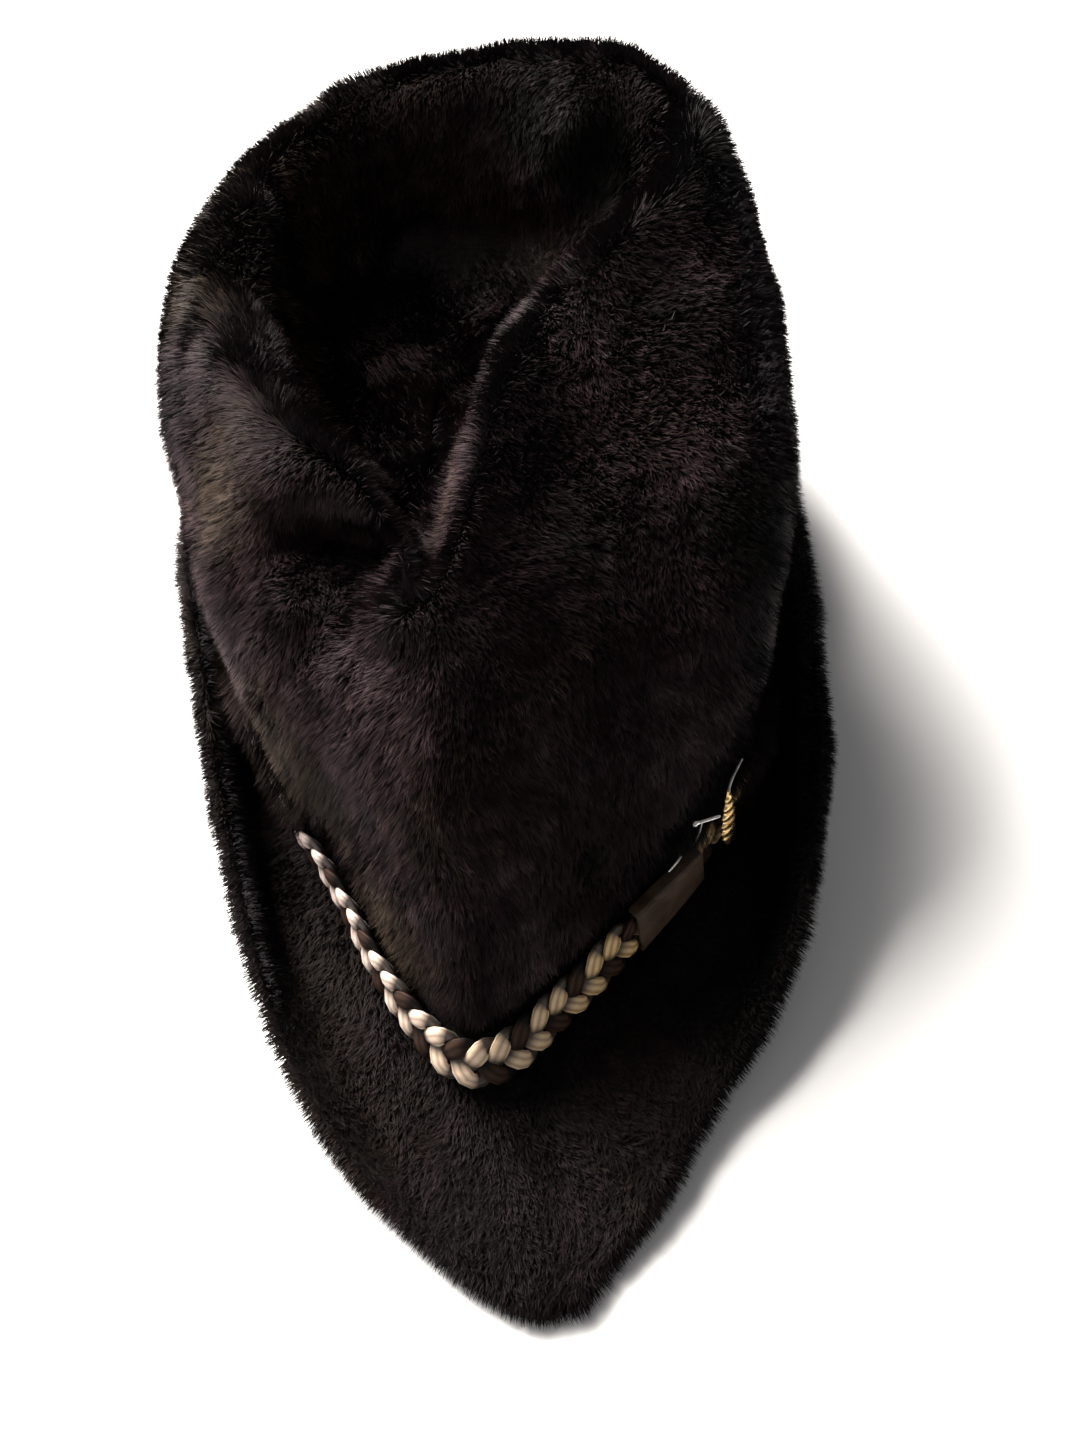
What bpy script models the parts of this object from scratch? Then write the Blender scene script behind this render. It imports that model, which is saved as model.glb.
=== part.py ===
"""Soft fur fedora with a deep teardrop dent, a brim rolled up at the sides and a braided hat band.

The hat stands on its brim with the floor at z = 0. The front, with the brim's tip, looks along -Y
and +Z is up. Crown and brim are lofted round the head through the sections of two tables, which go
from the front by the wearer's left (+X), the back and the right (-X) to the front again.
"""

import math
from collections import namedtuple

import bmesh
import bpy
import numpy as np
from mathutils import Matrix, Vector

# Driving dimensions, in metres
CROWN_HALF_WIDTH = 0.082
CROWN_HALF_LENGTH = 0.1225
CROWN_HEIGHT = 0.145
LIP_RADIUS = 0.012
CROWN_WALL = 0.0065
BRIM_WALL = 0.006
BRIM_SIDE_REACH = 0.0115
BRIM_FRONT_REACH = 0.0565
BRIM_BACK_REACH = 0.0375
BRIM_RISE = 0.053
BRIM_SAG = 0.014
FLAT_REST = 0.0008
SEAM_GAP = 0.0003
BAND_WIDTH = 0.0155
BAND_THICKNESS = 0.0038
BAND_LIFT = 0.0022
BAND_GAP = 0.0006
BRAID_PITCH = 0.019
STRAND_WIDTH = 0.0052
KEEPER_LENGTH = 0.023
KEEPER_WALL = 0.0012
TRIM_GAP = 0.0003
LEAF_LENGTH = 0.020
LEAF_WIDTH = 0.0062
LEAF_THICKNESS = 0.0022
PIN_DIAMETER = 0.0018

# How finely the loft is divided
MERIDIANS_PER_SECTION = 4
CROWN_SPANS = (2, 4, 4, 2, 2, 3, 3, 2)
BRIM_SPANS = (1, 3, 4)
BRAID_STEPS = 6
CREST_ROW = 12
FADE_ROWS = 5.0
LINED_ROWS = (0, 2, 4, 6, 8, 9, 12, 16, 19)
LINING_PASSES = 1
SMALL_PLACE_STEP = 0.02

# How the fold round the dent is rounded, as shares of the lip, and where the dent's wall bends on
# its way down, as shares of the way in and of the way down
SHOULDER_OUT = 0.85
SHOULDER_DOWN = 0.55
INNER_SHOULDER = 0.75
DENT_BEND_IN = 0.42
DENT_BEND_DOWN = 0.60
FLOOR_HOLLOW = 0.25

# The braid's and keeper's sections, as shares of the band's half width and thickness. The band is
# evened out where the keeper holds it.
EVEN_SHARE = 0.7
RIDGE_SIDE = 0.4
RIDGE_LOW = 0.72
EDGE_THICKNESS = 0.5
BACK_SHARE = 0.9
STRAND_COVER = 0.6
KEEPER_STEPS = 8
LEAF_STEPS = 14
LEAF_CORNERS = 6
LEAF_BLUNTNESS = 0.18
LEAF_GROOVE = 0.78
PIN_STEPS = 4
PIN_CORNERS = 8

# One row for each section of the crown. x, y and z are shares of the crown's half width, half
# length and height. foot is where the wall meets the brim. lean_low and lean_high say how far the
# wall has come from foot to crest at LOW_SHARE and HIGH_SHARE of the way up. crest is the top of
# the fold that goes round the dent, lip its roundness and fill how much of it is solid below the
# wall, both as shares of LIP_RADIUS, and bottom the edge of the dent's floor.
CrownSection = namedtuple(
    "CrownSection",
    "foot_x foot_y foot_z lean_low lean_high crest_x crest_y crest_z lip fill bottom_x bottom_y bottom_z",
)
LOW_SHARE = 0.35
HIGH_SHARE = 0.70
FOLD_DROP = 1.2
CROWN_SECTIONS = tuple(
    CrownSection(*row)
    for row in (
        (-0.05, -1.04, 0.070, 0.30, 0.60, -0.08, -0.40, 0.810, 0.50, 1.3, -0.17, -0.12, 0.665),
        (0.19, -0.91, 0.083, 0.22, 0.48, 0.00, -0.28, 0.855, 0.65, 0.8, -0.14, -0.02, 0.640),
        (0.45, -0.74, 0.120, 0.16, 0.44, 0.05, -0.10, 0.892, 0.80, 0.6, -0.11, 0.10, 0.620),
        (0.66, -0.56, 0.150, 0.06, 0.38, 0.16, 0.11, 0.925, 0.95, 0.4, -0.05, 0.24, 0.600),
        (0.83, -0.30, 0.172, -0.06, 0.18, 0.425, 0.26, 0.955, 1.05, 0.3, 0.04, 0.38, 0.590),
        (0.92, 0.05, 0.180, -0.04, -0.05, 0.615, 0.41, 0.966, 1.10, 0.3, 0.14, 0.49, 0.590),
        (0.90, 0.42, 0.162, -0.08, -0.08, 0.665, 0.60, 0.968, 1.05, 0.3, 0.18, 0.60, 0.590),
        (0.75, 0.74, 0.122, -0.10, 0.08, 0.525, 0.76, 0.980, 1.00, 0.3, 0.12, 0.68, 0.590),
        (0.42, 0.94, 0.080, -0.10, 0.10, 0.32, 0.87, 0.970, 1.00, 0.3, 0.03, 0.74, 0.595),
        (0.00, 1.00, 0.070, -0.05, 0.15, -0.07, 0.905, 0.938, 1.00, 0.3, -0.12, 0.77, 0.600),
        (-0.42, 0.94, 0.080, -0.10, 0.10, -0.38, 0.89, 0.912, 1.00, 0.3, -0.26, 0.74, 0.605),
        (-0.73, 0.76, 0.122, -0.40, -0.30, -0.60, 0.76, 0.903, 1.05, 0.3, -0.38, 0.66, 0.605),
        (-0.90, 0.47, 0.162, -0.20, -0.75, -0.78, 0.53, 0.897, 1.10, 0.3, -0.46, 0.54, 0.600),
        (-0.94, 0.13, 0.180, 0.00, -0.22, -0.77, 0.26, 0.893, 1.10, 0.3, -0.47, 0.39, 0.600),
        (-0.86, -0.17, 0.172, 0.00, 0.02, -0.61, 0.03, 0.897, 1.10, 0.4, -0.42, 0.26, 0.605),
        (-0.68, -0.42, 0.150, 0.00, 0.22, -0.43, -0.11, 0.890, 1.05, 0.8, -0.34, 0.15, 0.615),
        (-0.50, -0.62, 0.118, 0.12, 0.40, -0.265, -0.19, 0.872, 1.00, 1.0, -0.27, 0.04, 0.630),
        (-0.29, -0.88, 0.083, 0.22, 0.47, -0.155, -0.375, 0.790, 0.50, 1.2, -0.21, -0.06, 0.650),
    )
)

# One row for each fold pressed into the crown, on its outer wall or inside the dent. from and to
# are its two ends as shares of the crown's half width, half length and height. reach is the fold's
# half width, and depth_from and depth_to how far it goes in at the two ends, all as shares of
# LIP_RADIUS. A negative depth is a ridge.
Fold = namedtuple("Fold", "side from_x from_y from_z to_x to_y to_z reach depth_from depth_to")
FOLDS = (
    Fold("outer", -0.26, -0.35, 0.775, -0.32, -0.34, 0.750, 0.70, 0.40, 1.00),
    Fold("outer", -0.32, -0.34, 0.750, -0.46, -0.31, 0.715, 0.80, 1.00, 0.80),
    Fold("outer", -0.46, -0.31, 0.735, -0.68, -0.24, 0.640, 1.00, 0.60, 0.10),
    Fold("outer", -0.16, -0.44, 0.750, -0.46, -0.41, 0.650, 0.70, -0.15, -0.30),
    Fold("outer", -0.30, -0.18, 0.870, -0.50, -0.10, 0.860, 0.80, -0.20, -0.30),
    Fold("dent", 0.52, 0.72, 0.930, 0.40, 0.66, 0.780, 1.00, 0.60, 0.40),
    Fold("dent", 0.30, 0.84, 0.960, 0.14, 0.76, 0.760, 0.80, -0.35, -0.50),
)

# One row for each section of the brim, at the crown's section of the same number. edge is the
# brim's rim, its x and y as shares of the crown's half width and half length with the brim's reach
# added, and its z as a share of the brim's rise. sag says how far the brim goes down before it
# rolls up, as a share of BRIM_SAG, and belly how far it has come from foot to edge there.
BrimSection = namedtuple("BrimSection", "edge_x edge_y edge_z sag belly")
BRIM_SECTIONS = tuple(
    BrimSection(*row)
    for row in (
        (0.12, -1.000, 0.113, 0.30, 0.55),
        (0.35, -0.900, 0.130, 0.45, 0.55),
        (0.61, -0.715, 0.230, 0.45, 0.60),
        (0.79, -0.550, 0.430, 0.55, 0.75),
        (0.90, -0.335, 0.720, 0.75, 1.00),
        (0.94, -0.110, 0.930, 0.90, 1.20),
        (0.93, 0.180, 1.000, 0.90, 1.20),
        (0.89, 0.560, 0.960, 0.70, 0.90),
        (0.58, 0.850, 0.840, 0.60, 0.75),
        (0.00, 1.000, 0.760, 0.45, 0.72),
        (-0.58, 0.860, 0.820, 0.60, 0.75),
        (-0.88, 0.610, 0.920, 0.70, 0.90),
        (-0.97, 0.325, 0.980, 0.90, 1.10),
        (-0.98, 0.090, 0.950, 0.90, 1.10),
        (-0.88, -0.130, 0.840, 0.75, 1.05),
        (-0.78, -0.345, 0.620, 0.55, 0.85),
        (-0.61, -0.640, 0.300, 0.45, 0.60),
        (-0.31, -0.855, 0.165, 0.45, 0.55),
    )
)

# Where the keeper sits along the band, counted in sections from the front, and how the trim
# beside it stands
KEEPER_AT = 2.35
LEAF_TILT = math.radians(81.0)
LEAF_LEAN = 0.168
LEAF_BEYOND = 0.0075
LEAF_FOOT = 0.0005
LEAF_CLEARANCE = 0.0008
PIN_RISE = 0.0085
PIN_ON_LEAF = 0.69

# Colours as linear red, green and blue
DARK_FUR = (0.035, 0.027, 0.025)
BROWN_LEATHER = (0.050, 0.026, 0.017)
GOLD_THREAD = (0.62, 0.47, 0.22)
GILT = (0.72, 0.50, 0.18)
SILVER = (0.70, 0.70, 0.68)


def material(name, colour, roughness, metallic=0.0):
    """A plain Principled material of one colour."""
    made = bpy.data.materials.new(name)
    made.use_nodes = True
    shader = made.node_tree.nodes["Principled BSDF"]
    shader.inputs["Base Color"].default_value = (*colour, 1.0)
    shader.inputs["Roughness"].default_value = roughness
    shader.inputs["Metallic"].default_value = metallic
    return made


def solid_object(name, vertices, faces, finish):
    """An object of the given mesh, its faces turned outward and shaded smooth."""
    mesh = bpy.data.meshes.new(name)
    mesh.from_pydata([tuple(map(float, v)) for v in vertices], [], faces)
    shape = bmesh.new()
    shape.from_mesh(mesh)
    bmesh.ops.recalc_face_normals(shape, faces=shape.faces)
    shape.to_mesh(mesh)
    shape.free()
    mesh.shade_smooth()
    mesh.materials.append(finish)
    made = bpy.data.objects.new(name, mesh)
    bpy.context.collection.objects.link(made)
    return made


def spline(before, start, end, after, share):
    """A Catmull-Rom curve's value between start and end, numbers or arrays alike."""
    return 0.5 * (
        2.0 * start
        + (end - before) * share
        + (2.0 * before - 5.0 * start + 4.0 * end - after) * share**2
        + (3.0 * start - before - 3.0 * end + after) * share**3
    )


def round_the_head(rows, place):
    """The values of a closed table of sections at a place counted in sections."""
    whole = math.floor(place)
    count = len(rows)
    four = [rows[(whole + offset) % count] for offset in (-1, 0, 1, 2)]
    return spline(*four, place - whole)


def up_the_profile(controls, spans):
    """Points on a curve through the controls, with spans[i] steps after control i."""
    first = 2.0 * controls[0] - controls[1]
    last = 2.0 * controls[-1] - controls[-2]
    line = [first, *controls, last]
    points = []
    for index, steps in enumerate(spans):
        for step in range(steps):
            points.append(spline(*line[index : index + 4], step / steps))
    points.append(controls[-1])
    return points


def unit(vector):
    """The vector at length 1."""
    return vector / np.linalg.norm(vector)


CROWN_TABLE = np.array(CROWN_SECTIONS)
BRIM_TABLE = np.array(BRIM_SECTIONS)
CROWN_SCALE = np.array((CROWN_HALF_WIDTH, CROWN_HALF_LENGTH, CROWN_HEIGHT))
SECTION_COUNT = len(CROWN_SECTIONS)
UP = np.array((0.0, 0.0, 1.0))


def crown_controls(place):
    """The control points of the crown's wall at a place, from the foot to the dent's floor."""
    row = CrownSection(*round_the_head(CROWN_TABLE, place))
    foot = np.array((row.foot_x, row.foot_y, row.foot_z)) * CROWN_SCALE
    crest = np.array((row.crest_x, row.crest_y, row.crest_z)) * CROWN_SCALE
    bottom = np.array((row.bottom_x, row.bottom_y, row.bottom_z)) * CROWN_SCALE
    way = crest - foot
    low = foot + way * np.array((row.lean_low, row.lean_low, LOW_SHARE))
    high = foot + way * np.array((row.lean_high, row.lean_high, HIGH_SHARE))
    outward = unit((crest - bottom) * np.array((1.0, 1.0, 0.0)))
    lip = row.lip * LIP_RADIUS
    shoulder = crest + outward * lip * SHOULDER_OUT - UP * lip * SHOULDER_DOWN
    inner_shoulder = crest - (outward + UP) * lip * INNER_SHOULDER
    bend = np.array((DENT_BEND_IN, DENT_BEND_IN, DENT_BEND_DOWN))
    dent_wall = inner_shoulder + (bottom - inner_shoulder) * bend
    return [foot, low, high, shoulder, crest, inner_shoulder, dent_wall, bottom]


def dent_centre():
    """The middle of the dent's floor, a little lower than its edge."""
    table = CROWN_TABLE[:, -3:] * CROWN_SCALE
    return table.mean(axis=0) - UP * FLOOR_HOLLOW * LIP_RADIUS


def wall_point(place, height):
    """A point on the crown's lower wall, a height above its foot, with its direction up the wall."""
    controls = crown_controls(place)
    first = 2.0 * controls[0] - controls[1]
    rise = controls[1][2] - controls[0][2]
    share = height / rise
    point = spline(first, *controls[:3], share)
    ahead = spline(first, *controls[:3], share + SMALL_PLACE_STEP)
    return point, unit(ahead - point)


def wall_frame(place, height):
    """Point, direction along the band, direction up the wall and outward normal."""
    point, upward = wall_point(place, height)
    before, _ = wall_point(place - SMALL_PLACE_STEP, height)
    after, _ = wall_point(place + SMALL_PLACE_STEP, height)
    along = unit(after - before)
    outward = unit(np.cross(along, upward))
    return point, along, upward, outward


def pressed(grid, folds):
    """The crown's grid with the folds pressed in and the ridges raised, outer folds sagging."""
    inward = -grid_normals(smoothed(grid, 1))
    sagging = inward - FOLD_DROP * UP
    sagging /= np.linalg.norm(sagging, axis=-1)[..., None]
    outside = np.clip((CREST_ROW - np.arange(len(grid))) / FADE_ROWS, 0.0, 1.0)[:, None] ** 1.5
    moved = grid.copy()
    for fold in folds:
        start = np.array((fold.from_x, fold.from_y, fold.from_z)) * CROWN_SCALE
        end = np.array((fold.to_x, fold.to_y, fold.to_z)) * CROWN_SCALE
        line = end - start
        share = np.clip(((grid - start) @ line) / (line @ line), 0.0, 1.0)
        away = grid - (start + share[..., None] * line)
        distance = np.linalg.norm(away, axis=-1) / (fold.reach * LIP_RADIUS)
        depth = fold.depth_from + (fold.depth_to - fold.depth_from) * share
        strength = np.exp(-(distance**2)) * depth * LIP_RADIUS
        if fold.side == "outer":
            moved += sagging * (strength * outside)[..., None]
        else:
            moved += inward * (strength * (1.0 - outside))[..., None]
    return smoothed(moved, 1)


def lined(outer):
    """The crown's inner face: rows of the outer one set in by the wall, its sharp crests filled."""
    rows = [round_the_head(CROWN_TABLE, c / MERIDIANS_PER_SECTION) for c in range(outer.shape[1])]
    fill = np.array([CrownSection(*row).fill for row in rows])[:, None] * LIP_RADIUS
    inner = outer - CROWN_WALL * grid_normals(smoothed(outer, 2))
    inner[CREST_ROW] = outer[CREST_ROW] - UP * (CROWN_WALL + fill)
    inner = inner[list(LINED_ROWS)]
    inner[0, :, 2] = outer[0, :, 2]
    return smoothed(inner, LINING_PASSES)


def smoothed(grid, passes):
    """The grid, closed round its columns, with each point moved to the mean of its neighbours."""
    for _ in range(passes):
        sides = np.roll(grid, 1, axis=1) + np.roll(grid, -1, axis=1)
        ends = grid.copy()
        ends[1:-1] = grid[:-2] + grid[2:]
        grid = grid.copy()
        grid[1:-1] = 0.5 * grid[1:-1] + 0.125 * (sides[1:-1] + ends[1:-1])
    return grid


def grid_normals(grid):
    """Outward normals of a grid whose rows rise and whose columns go round with the sections."""
    round_way = np.roll(grid, -1, axis=1) - np.roll(grid, 1, axis=1)
    up_way = np.gradient(grid, axis=0)
    normals = np.cross(round_way, up_way)
    length = np.linalg.norm(normals, axis=-1)
    return normals / np.maximum(length, 1e-12)[..., None]


def ring_faces(low, high, columns):
    """Quads between two closed rings that start at the given vertices."""
    return [
        (low + c, low + (c + 1) % columns, high + (c + 1) % columns, high + c) for c in range(columns)
    ]


def sheet_faces(rows, columns, first):
    """Quads of a sheet of closed rings, its vertices counted from first."""
    faces = []
    for row in range(rows - 1):
        faces += ring_faces(first + row * columns, first + (row + 1) * columns, columns)
    return faces


def fan_faces(ring, pole, columns):
    """Triangles from a closed ring to the one vertex in its middle."""
    return [(ring + c, ring + (c + 1) % columns, pole) for c in range(columns)]


def build_crown(finish):
    """The crown: a fur wall with its dent, open below round the head."""
    columns = SECTION_COUNT * MERIDIANS_PER_SECTION
    pole = dent_centre()
    lines = []
    for column in range(columns):
        controls = crown_controls(column / MERIDIANS_PER_SECTION)
        lines.append(up_the_profile([*controls, pole], CROWN_SPANS)[:-1])
    outer = pressed(np.array(lines).transpose(1, 0, 2), FOLDS)
    inner = lined(outer)
    second, third = outer.shape[0] * columns, inner.shape[0] * columns
    vertices = [*outer.reshape(-1, 3), *inner.reshape(-1, 3)]
    vertices += [pole, pole - UP * CROWN_WALL]
    faces = sheet_faces(outer.shape[0], columns, 0) + sheet_faces(inner.shape[0], columns, second)
    faces += ring_faces(second, 0, columns)
    faces += fan_faces(second - columns, second + third, columns)
    faces += fan_faces(second + third - columns, second + third + 1, columns)
    return solid_object("crown", vertices, faces, finish)


def brim_controls(place):
    """The control points of the brim's upper face at a place, from the head opening to the rim."""
    row = BrimSection(*round_the_head(BRIM_TABLE, place))
    foot, along, _, _ = wall_frame(place, 0.0)
    foot = foot - np.array((0.0, 0.0, SEAM_GAP))
    flat_outward = unit(np.cross(along, UP))
    reach = BRIM_FRONT_REACH if row.edge_y < 0.0 else BRIM_BACK_REACH
    edge = np.array((
        row.edge_x * (CROWN_HALF_WIDTH + BRIM_SIDE_REACH),
        row.edge_y * (CROWN_HALF_LENGTH + reach),
        row.edge_z * BRIM_RISE,
    ))
    edge -= flat_outward * BRIM_WALL * row.edge_z
    belly = foot + (edge - foot) * np.array((row.belly, row.belly, 0.0)) - UP * row.sag * BRIM_SAG
    return [foot - flat_outward * CROWN_WALL, foot, belly, edge]


def build_brim(finish):
    """The brim: a fur sheet whose inner margin lies under the crown's wall, flat where it rests."""
    columns = SECTION_COUNT * MERIDIANS_PER_SECTION
    lines = [
        up_the_profile(brim_controls(column / MERIDIANS_PER_SECTION), BRIM_SPANS)
        for column in range(columns)
    ]
    upper = np.array(lines).transpose(1, 0, 2)
    upper[2:, :, 2] = np.maximum(upper[2:, :, 2], BRIM_WALL)
    lower = upper + BRIM_WALL * grid_normals(smoothed(upper, 1))
    lower[lower[..., 2] < FLAT_REST, 2] = 0.0
    rows = upper.shape[0]
    second = rows * columns
    vertices = [*upper.reshape(-1, 3), *lower.reshape(-1, 3)]
    faces = sheet_faces(rows, columns, 0) + sheet_faces(rows, columns, second)
    faces += ring_faces(0, second, columns)
    faces += ring_faces(second - columns, 2 * second - columns, columns)
    return solid_object("brim", vertices, faces, finish)


def band_places():
    """Places round the crown at the steps of a whole number of the braid's pitches."""
    tries = np.linspace(0.0, SECTION_COUNT, SECTION_COUNT * 40 + 1)
    path = np.array([wall_point(place, BAND_LIFT + BAND_WIDTH / 2)[0] for place in tries])
    lengths = np.concatenate(([0.0], np.cumsum(np.linalg.norm(np.diff(path, axis=0), axis=1))))
    pitches = round(lengths[-1] / BRAID_PITCH)
    evenly = np.linspace(0.0, lengths[-1], pitches * BRAID_STEPS + 1)[:-1]
    return np.interp(evenly, lengths, tries)


def metres_per_section(place):
    """How far the band goes while its place changes by one section."""
    height = BAND_LIFT + BAND_WIDTH / 2
    before, _ = wall_point(place - SMALL_PLACE_STEP, height)
    after, _ = wall_point(place + SMALL_PLACE_STEP, height)
    return np.linalg.norm(after - before) / (2 * SMALL_PLACE_STEP)


def on_band(place, across, out):
    """A point beside the band's middle line, across it up the wall and out from the wall."""
    point, _, _, outward = wall_frame(place, BAND_LIFT + BAND_WIDTH / 2 + across)
    return point + outward * (BAND_GAP + out)


def braid_section(turn, flatness):
    """Across and out of the band's corners at a share of a pitch: three strands crossing in turn.

    flatness 1 is the even stretch under the keeper and 0 the open braid.
    """
    angles = [2 * math.pi * (turn + strand / 3) for strand in range(3)]
    swing = (BAND_WIDTH - STRAND_WIDTH) / 2
    across = [swing * math.sin(angle) for angle in angles]
    lift = [0.5 + 0.5 * math.sin(2 * angle) for angle in angles]
    half = BAND_WIDTH / 2
    top = min(max(across) + STRAND_WIDTH / 2, half)
    bottom = max(min(across) - STRAND_WIDTH / 2, -half)
    ridges = []
    for side in (RIDGE_SIDE * half, -RIDGE_SIDE * half):
        cover = [(lift[i], abs(across[i] - side)) for i in range(3)]
        near = [value for value, distance in cover if distance < STRAND_COVER * STRAND_WIDTH]
        ridges.append(RIDGE_LOW + (1.0 - RIDGE_LOW) * max(near, default=0.0))
    even = EVEN_SHARE * half
    top, bottom = top + (even - top) * flatness, bottom + (-even - bottom) * flatness
    ridges = [ridge + (EVEN_SHARE - ridge) * flatness for ridge in ridges]
    return (
        (bottom * BACK_SHARE, 0.0),
        (top * BACK_SHARE, 0.0),
        (top, BAND_THICKNESS * EDGE_THICKNESS),
        (RIDGE_SIDE * half, BAND_THICKNESS * ridges[0]),
        (-RIDGE_SIDE * half, BAND_THICKNESS * ridges[1]),
        (bottom, BAND_THICKNESS * EDGE_THICKNESS),
    )


def build_braid(finish):
    """The hat band: a flat braid of three strands, one closed loop round the crown's foot."""
    places = band_places()
    vertices = []
    for index, place in enumerate(places):
        away = abs(place - KEEPER_AT) * metres_per_section(KEEPER_AT) / (KEEPER_LENGTH / 2)
        flatness = min(max(1.6 - 0.5 * away, 0.0), 1.0)
        section = braid_section(index / BRAID_STEPS, flatness)
        vertices += [on_band(place, across, out) for across, out in section]
    count, corners = len(places), len(section)
    faces = []
    for index in range(count):
        here, ahead = index * corners, (index + 1) % count * corners
        for corner in range(corners):
            turn = (corner + 1) % corners
            faces.append((here + corner, ahead + corner, ahead + turn, here + turn))
    return solid_object("braided_band", vertices, faces, finish)


def tube_faces(count, corners):
    """Faces of a row of rings with its two ends closed."""
    faces = [tuple(range(corners)), tuple(range((count - 1) * corners, count * corners))]
    for index in range(count - 1):
        here, ahead = index * corners, (index + 1) * corners
        for corner in range(corners):
            turn = (corner + 1) % corners
            faces.append((here + corner, ahead + corner, ahead + turn, here + turn))
    return faces


def build_keeper(finish):
    """The keeper: a leather strip folded round the outside of the band's two ends."""
    half = EVEN_SHARE * BAND_WIDTH / 2 + TRIM_GAP
    floor, roof = TRIM_GAP, BAND_THICKNESS * EVEN_SHARE + TRIM_GAP
    corner = roof + 0.4 * KEEPER_WALL
    section = (
        (-half - KEEPER_WALL, floor),
        (-half - KEEPER_WALL, corner),
        (-half, roof + KEEPER_WALL),
        (half, roof + KEEPER_WALL),
        (half + KEEPER_WALL, corner),
        (half + KEEPER_WALL, floor),
        (half, floor),
        (half, roof),
        (-half, roof),
        (-half, floor),
    )
    per_section = metres_per_section(KEEPER_AT)
    vertices = []
    for step in range(KEEPER_STEPS + 1):
        place = KEEPER_AT + (step / KEEPER_STEPS - 0.5) * KEEPER_LENGTH / per_section
        vertices += [on_band(place, across, out) for across, out in section]
    return solid_object("keeper", vertices, tube_faces(KEEPER_STEPS + 1, len(section)), finish)


def leaf_stand():
    """The leaf's foot on the band's face, its axis, its side towards the keeper and its outward way."""
    place = KEEPER_AT + (KEEPER_LENGTH / 2 + LEAF_BEYOND) / metres_per_section(KEEPER_AT)
    foot = on_band(place, LEAF_FOOT, BAND_THICKNESS + LEAF_CLEARANCE + LEAF_THICKNESS / 2)
    _, along, upward, outward = wall_frame(place, BAND_LIFT + BAND_WIDTH)
    axis = along * math.cos(LEAF_TILT) + upward * math.sin(LEAF_TILT) - outward * LEAF_LEAN
    axis = axis / np.linalg.norm(axis)
    side = np.cross(outward, axis)
    side = -side * np.sign(np.dot(side, along)) / np.linalg.norm(side)
    return foot, axis, side, np.cross(axis, side)


def leaf_half_width(share):
    """Half the leaf's width, ribs left out, at a share of its length from its foot."""
    swell = math.sin(math.pi * share**0.75)
    return LEAF_WIDTH / 2 * (LEAF_BLUNTNESS + (1.0 - LEAF_BLUNTNESS) * swell)


def build_leaf(finish):
    """The ornament: a narrow gilt leaf with cross ribs, stood up over the band beyond the keeper."""
    foot, axis, side, face = leaf_stand()
    vertices = []
    for step in range(LEAF_STEPS + 1):
        share = step / LEAF_STEPS
        rib = 1.0 if step % 2 else LEAF_GROOVE
        wide = leaf_half_width(share) * rib
        thick = LEAF_THICKNESS / 2 * (1.0 + rib) / 2
        centre = foot + axis * LEAF_LENGTH * share
        for corner in range(LEAF_CORNERS):
            angle = 2 * math.pi * corner / LEAF_CORNERS
            vertices.append(centre + side * wide * math.cos(angle) + face * thick * math.sin(angle))
    return solid_object("gilt_leaf", vertices, tube_faces(LEAF_STEPS + 1, LEAF_CORNERS), finish)


def build_pin(finish):
    """The pin: a short silver rod from the crown above the keeper's end to the leaf's edge."""
    place = KEEPER_AT + KEEPER_LENGTH / 2 / metres_per_section(KEEPER_AT)
    point, _, upward, outward = wall_frame(place, BAND_LIFT + BAND_WIDTH + PIN_RISE)
    start = point + outward * (TRIM_GAP + PIN_DIAMETER / 2)
    foot, axis, side, _ = leaf_stand()
    reach = leaf_half_width(PIN_ON_LEAF) + TRIM_GAP + PIN_DIAMETER / 2
    end = foot + axis * LEAF_LENGTH * PIN_ON_LEAF + side * reach
    along = (end - start) / np.linalg.norm(end - start)
    first = np.cross(along, upward)
    first = first / np.linalg.norm(first)
    second = np.cross(along, first)
    vertices = []
    for step in range(PIN_STEPS + 1):
        centre = start + (end - start) * step / PIN_STEPS
        for corner in range(PIN_CORNERS):
            angle = 2 * math.pi * corner / PIN_CORNERS
            around = first * math.cos(angle) + second * math.sin(angle)
            vertices.append(centre + around * PIN_DIAMETER / 2)
    return solid_object("silver_pin", vertices, tube_faces(PIN_STEPS + 1, PIN_CORNERS), finish)


def centre_over_origin(pieces):
    """Moves all pieces' points so that the hat's box stands centred on the origin."""
    points = np.array([tuple(v.co) for piece in pieces for v in piece.data.vertices])
    low, high = points.min(axis=0), points.max(axis=0)
    shift = Vector((-(low[0] + high[0]) / 2, -(low[1] + high[1]) / 2, -low[2]))
    for piece in pieces:
        piece.data.transform(Matrix.Translation(shift))
    return shift


def main():
    """Removes what the scene holds and builds the hat."""
    for old in list(bpy.data.objects):
        bpy.data.objects.remove(old)
    fur = material("fur", DARK_FUR, 0.95)
    pieces = [
        build_crown(fur),
        build_brim(fur),
        build_braid(material("braid", GOLD_THREAD, 0.45)),
        build_keeper(material("leather", BROWN_LEATHER, 0.5)),
        build_leaf(material("gilt", GILT, 0.3, 1.0)),
        build_pin(material("silver", SILVER, 0.25, 1.0)),
    ]
    centre_over_origin(pieces)


main()
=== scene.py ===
"""Looks of a soft fur fedora: pile, braided band, leather keeper, gilt leaf and silver pin."""

import logging
import math
from dataclasses import dataclass, replace
from enum import Enum

import bmesh
import bpy
import numpy as np
from mathutils import Matrix, Vector, kdtree
from mathutils.bvhtree import BVHTree


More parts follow.
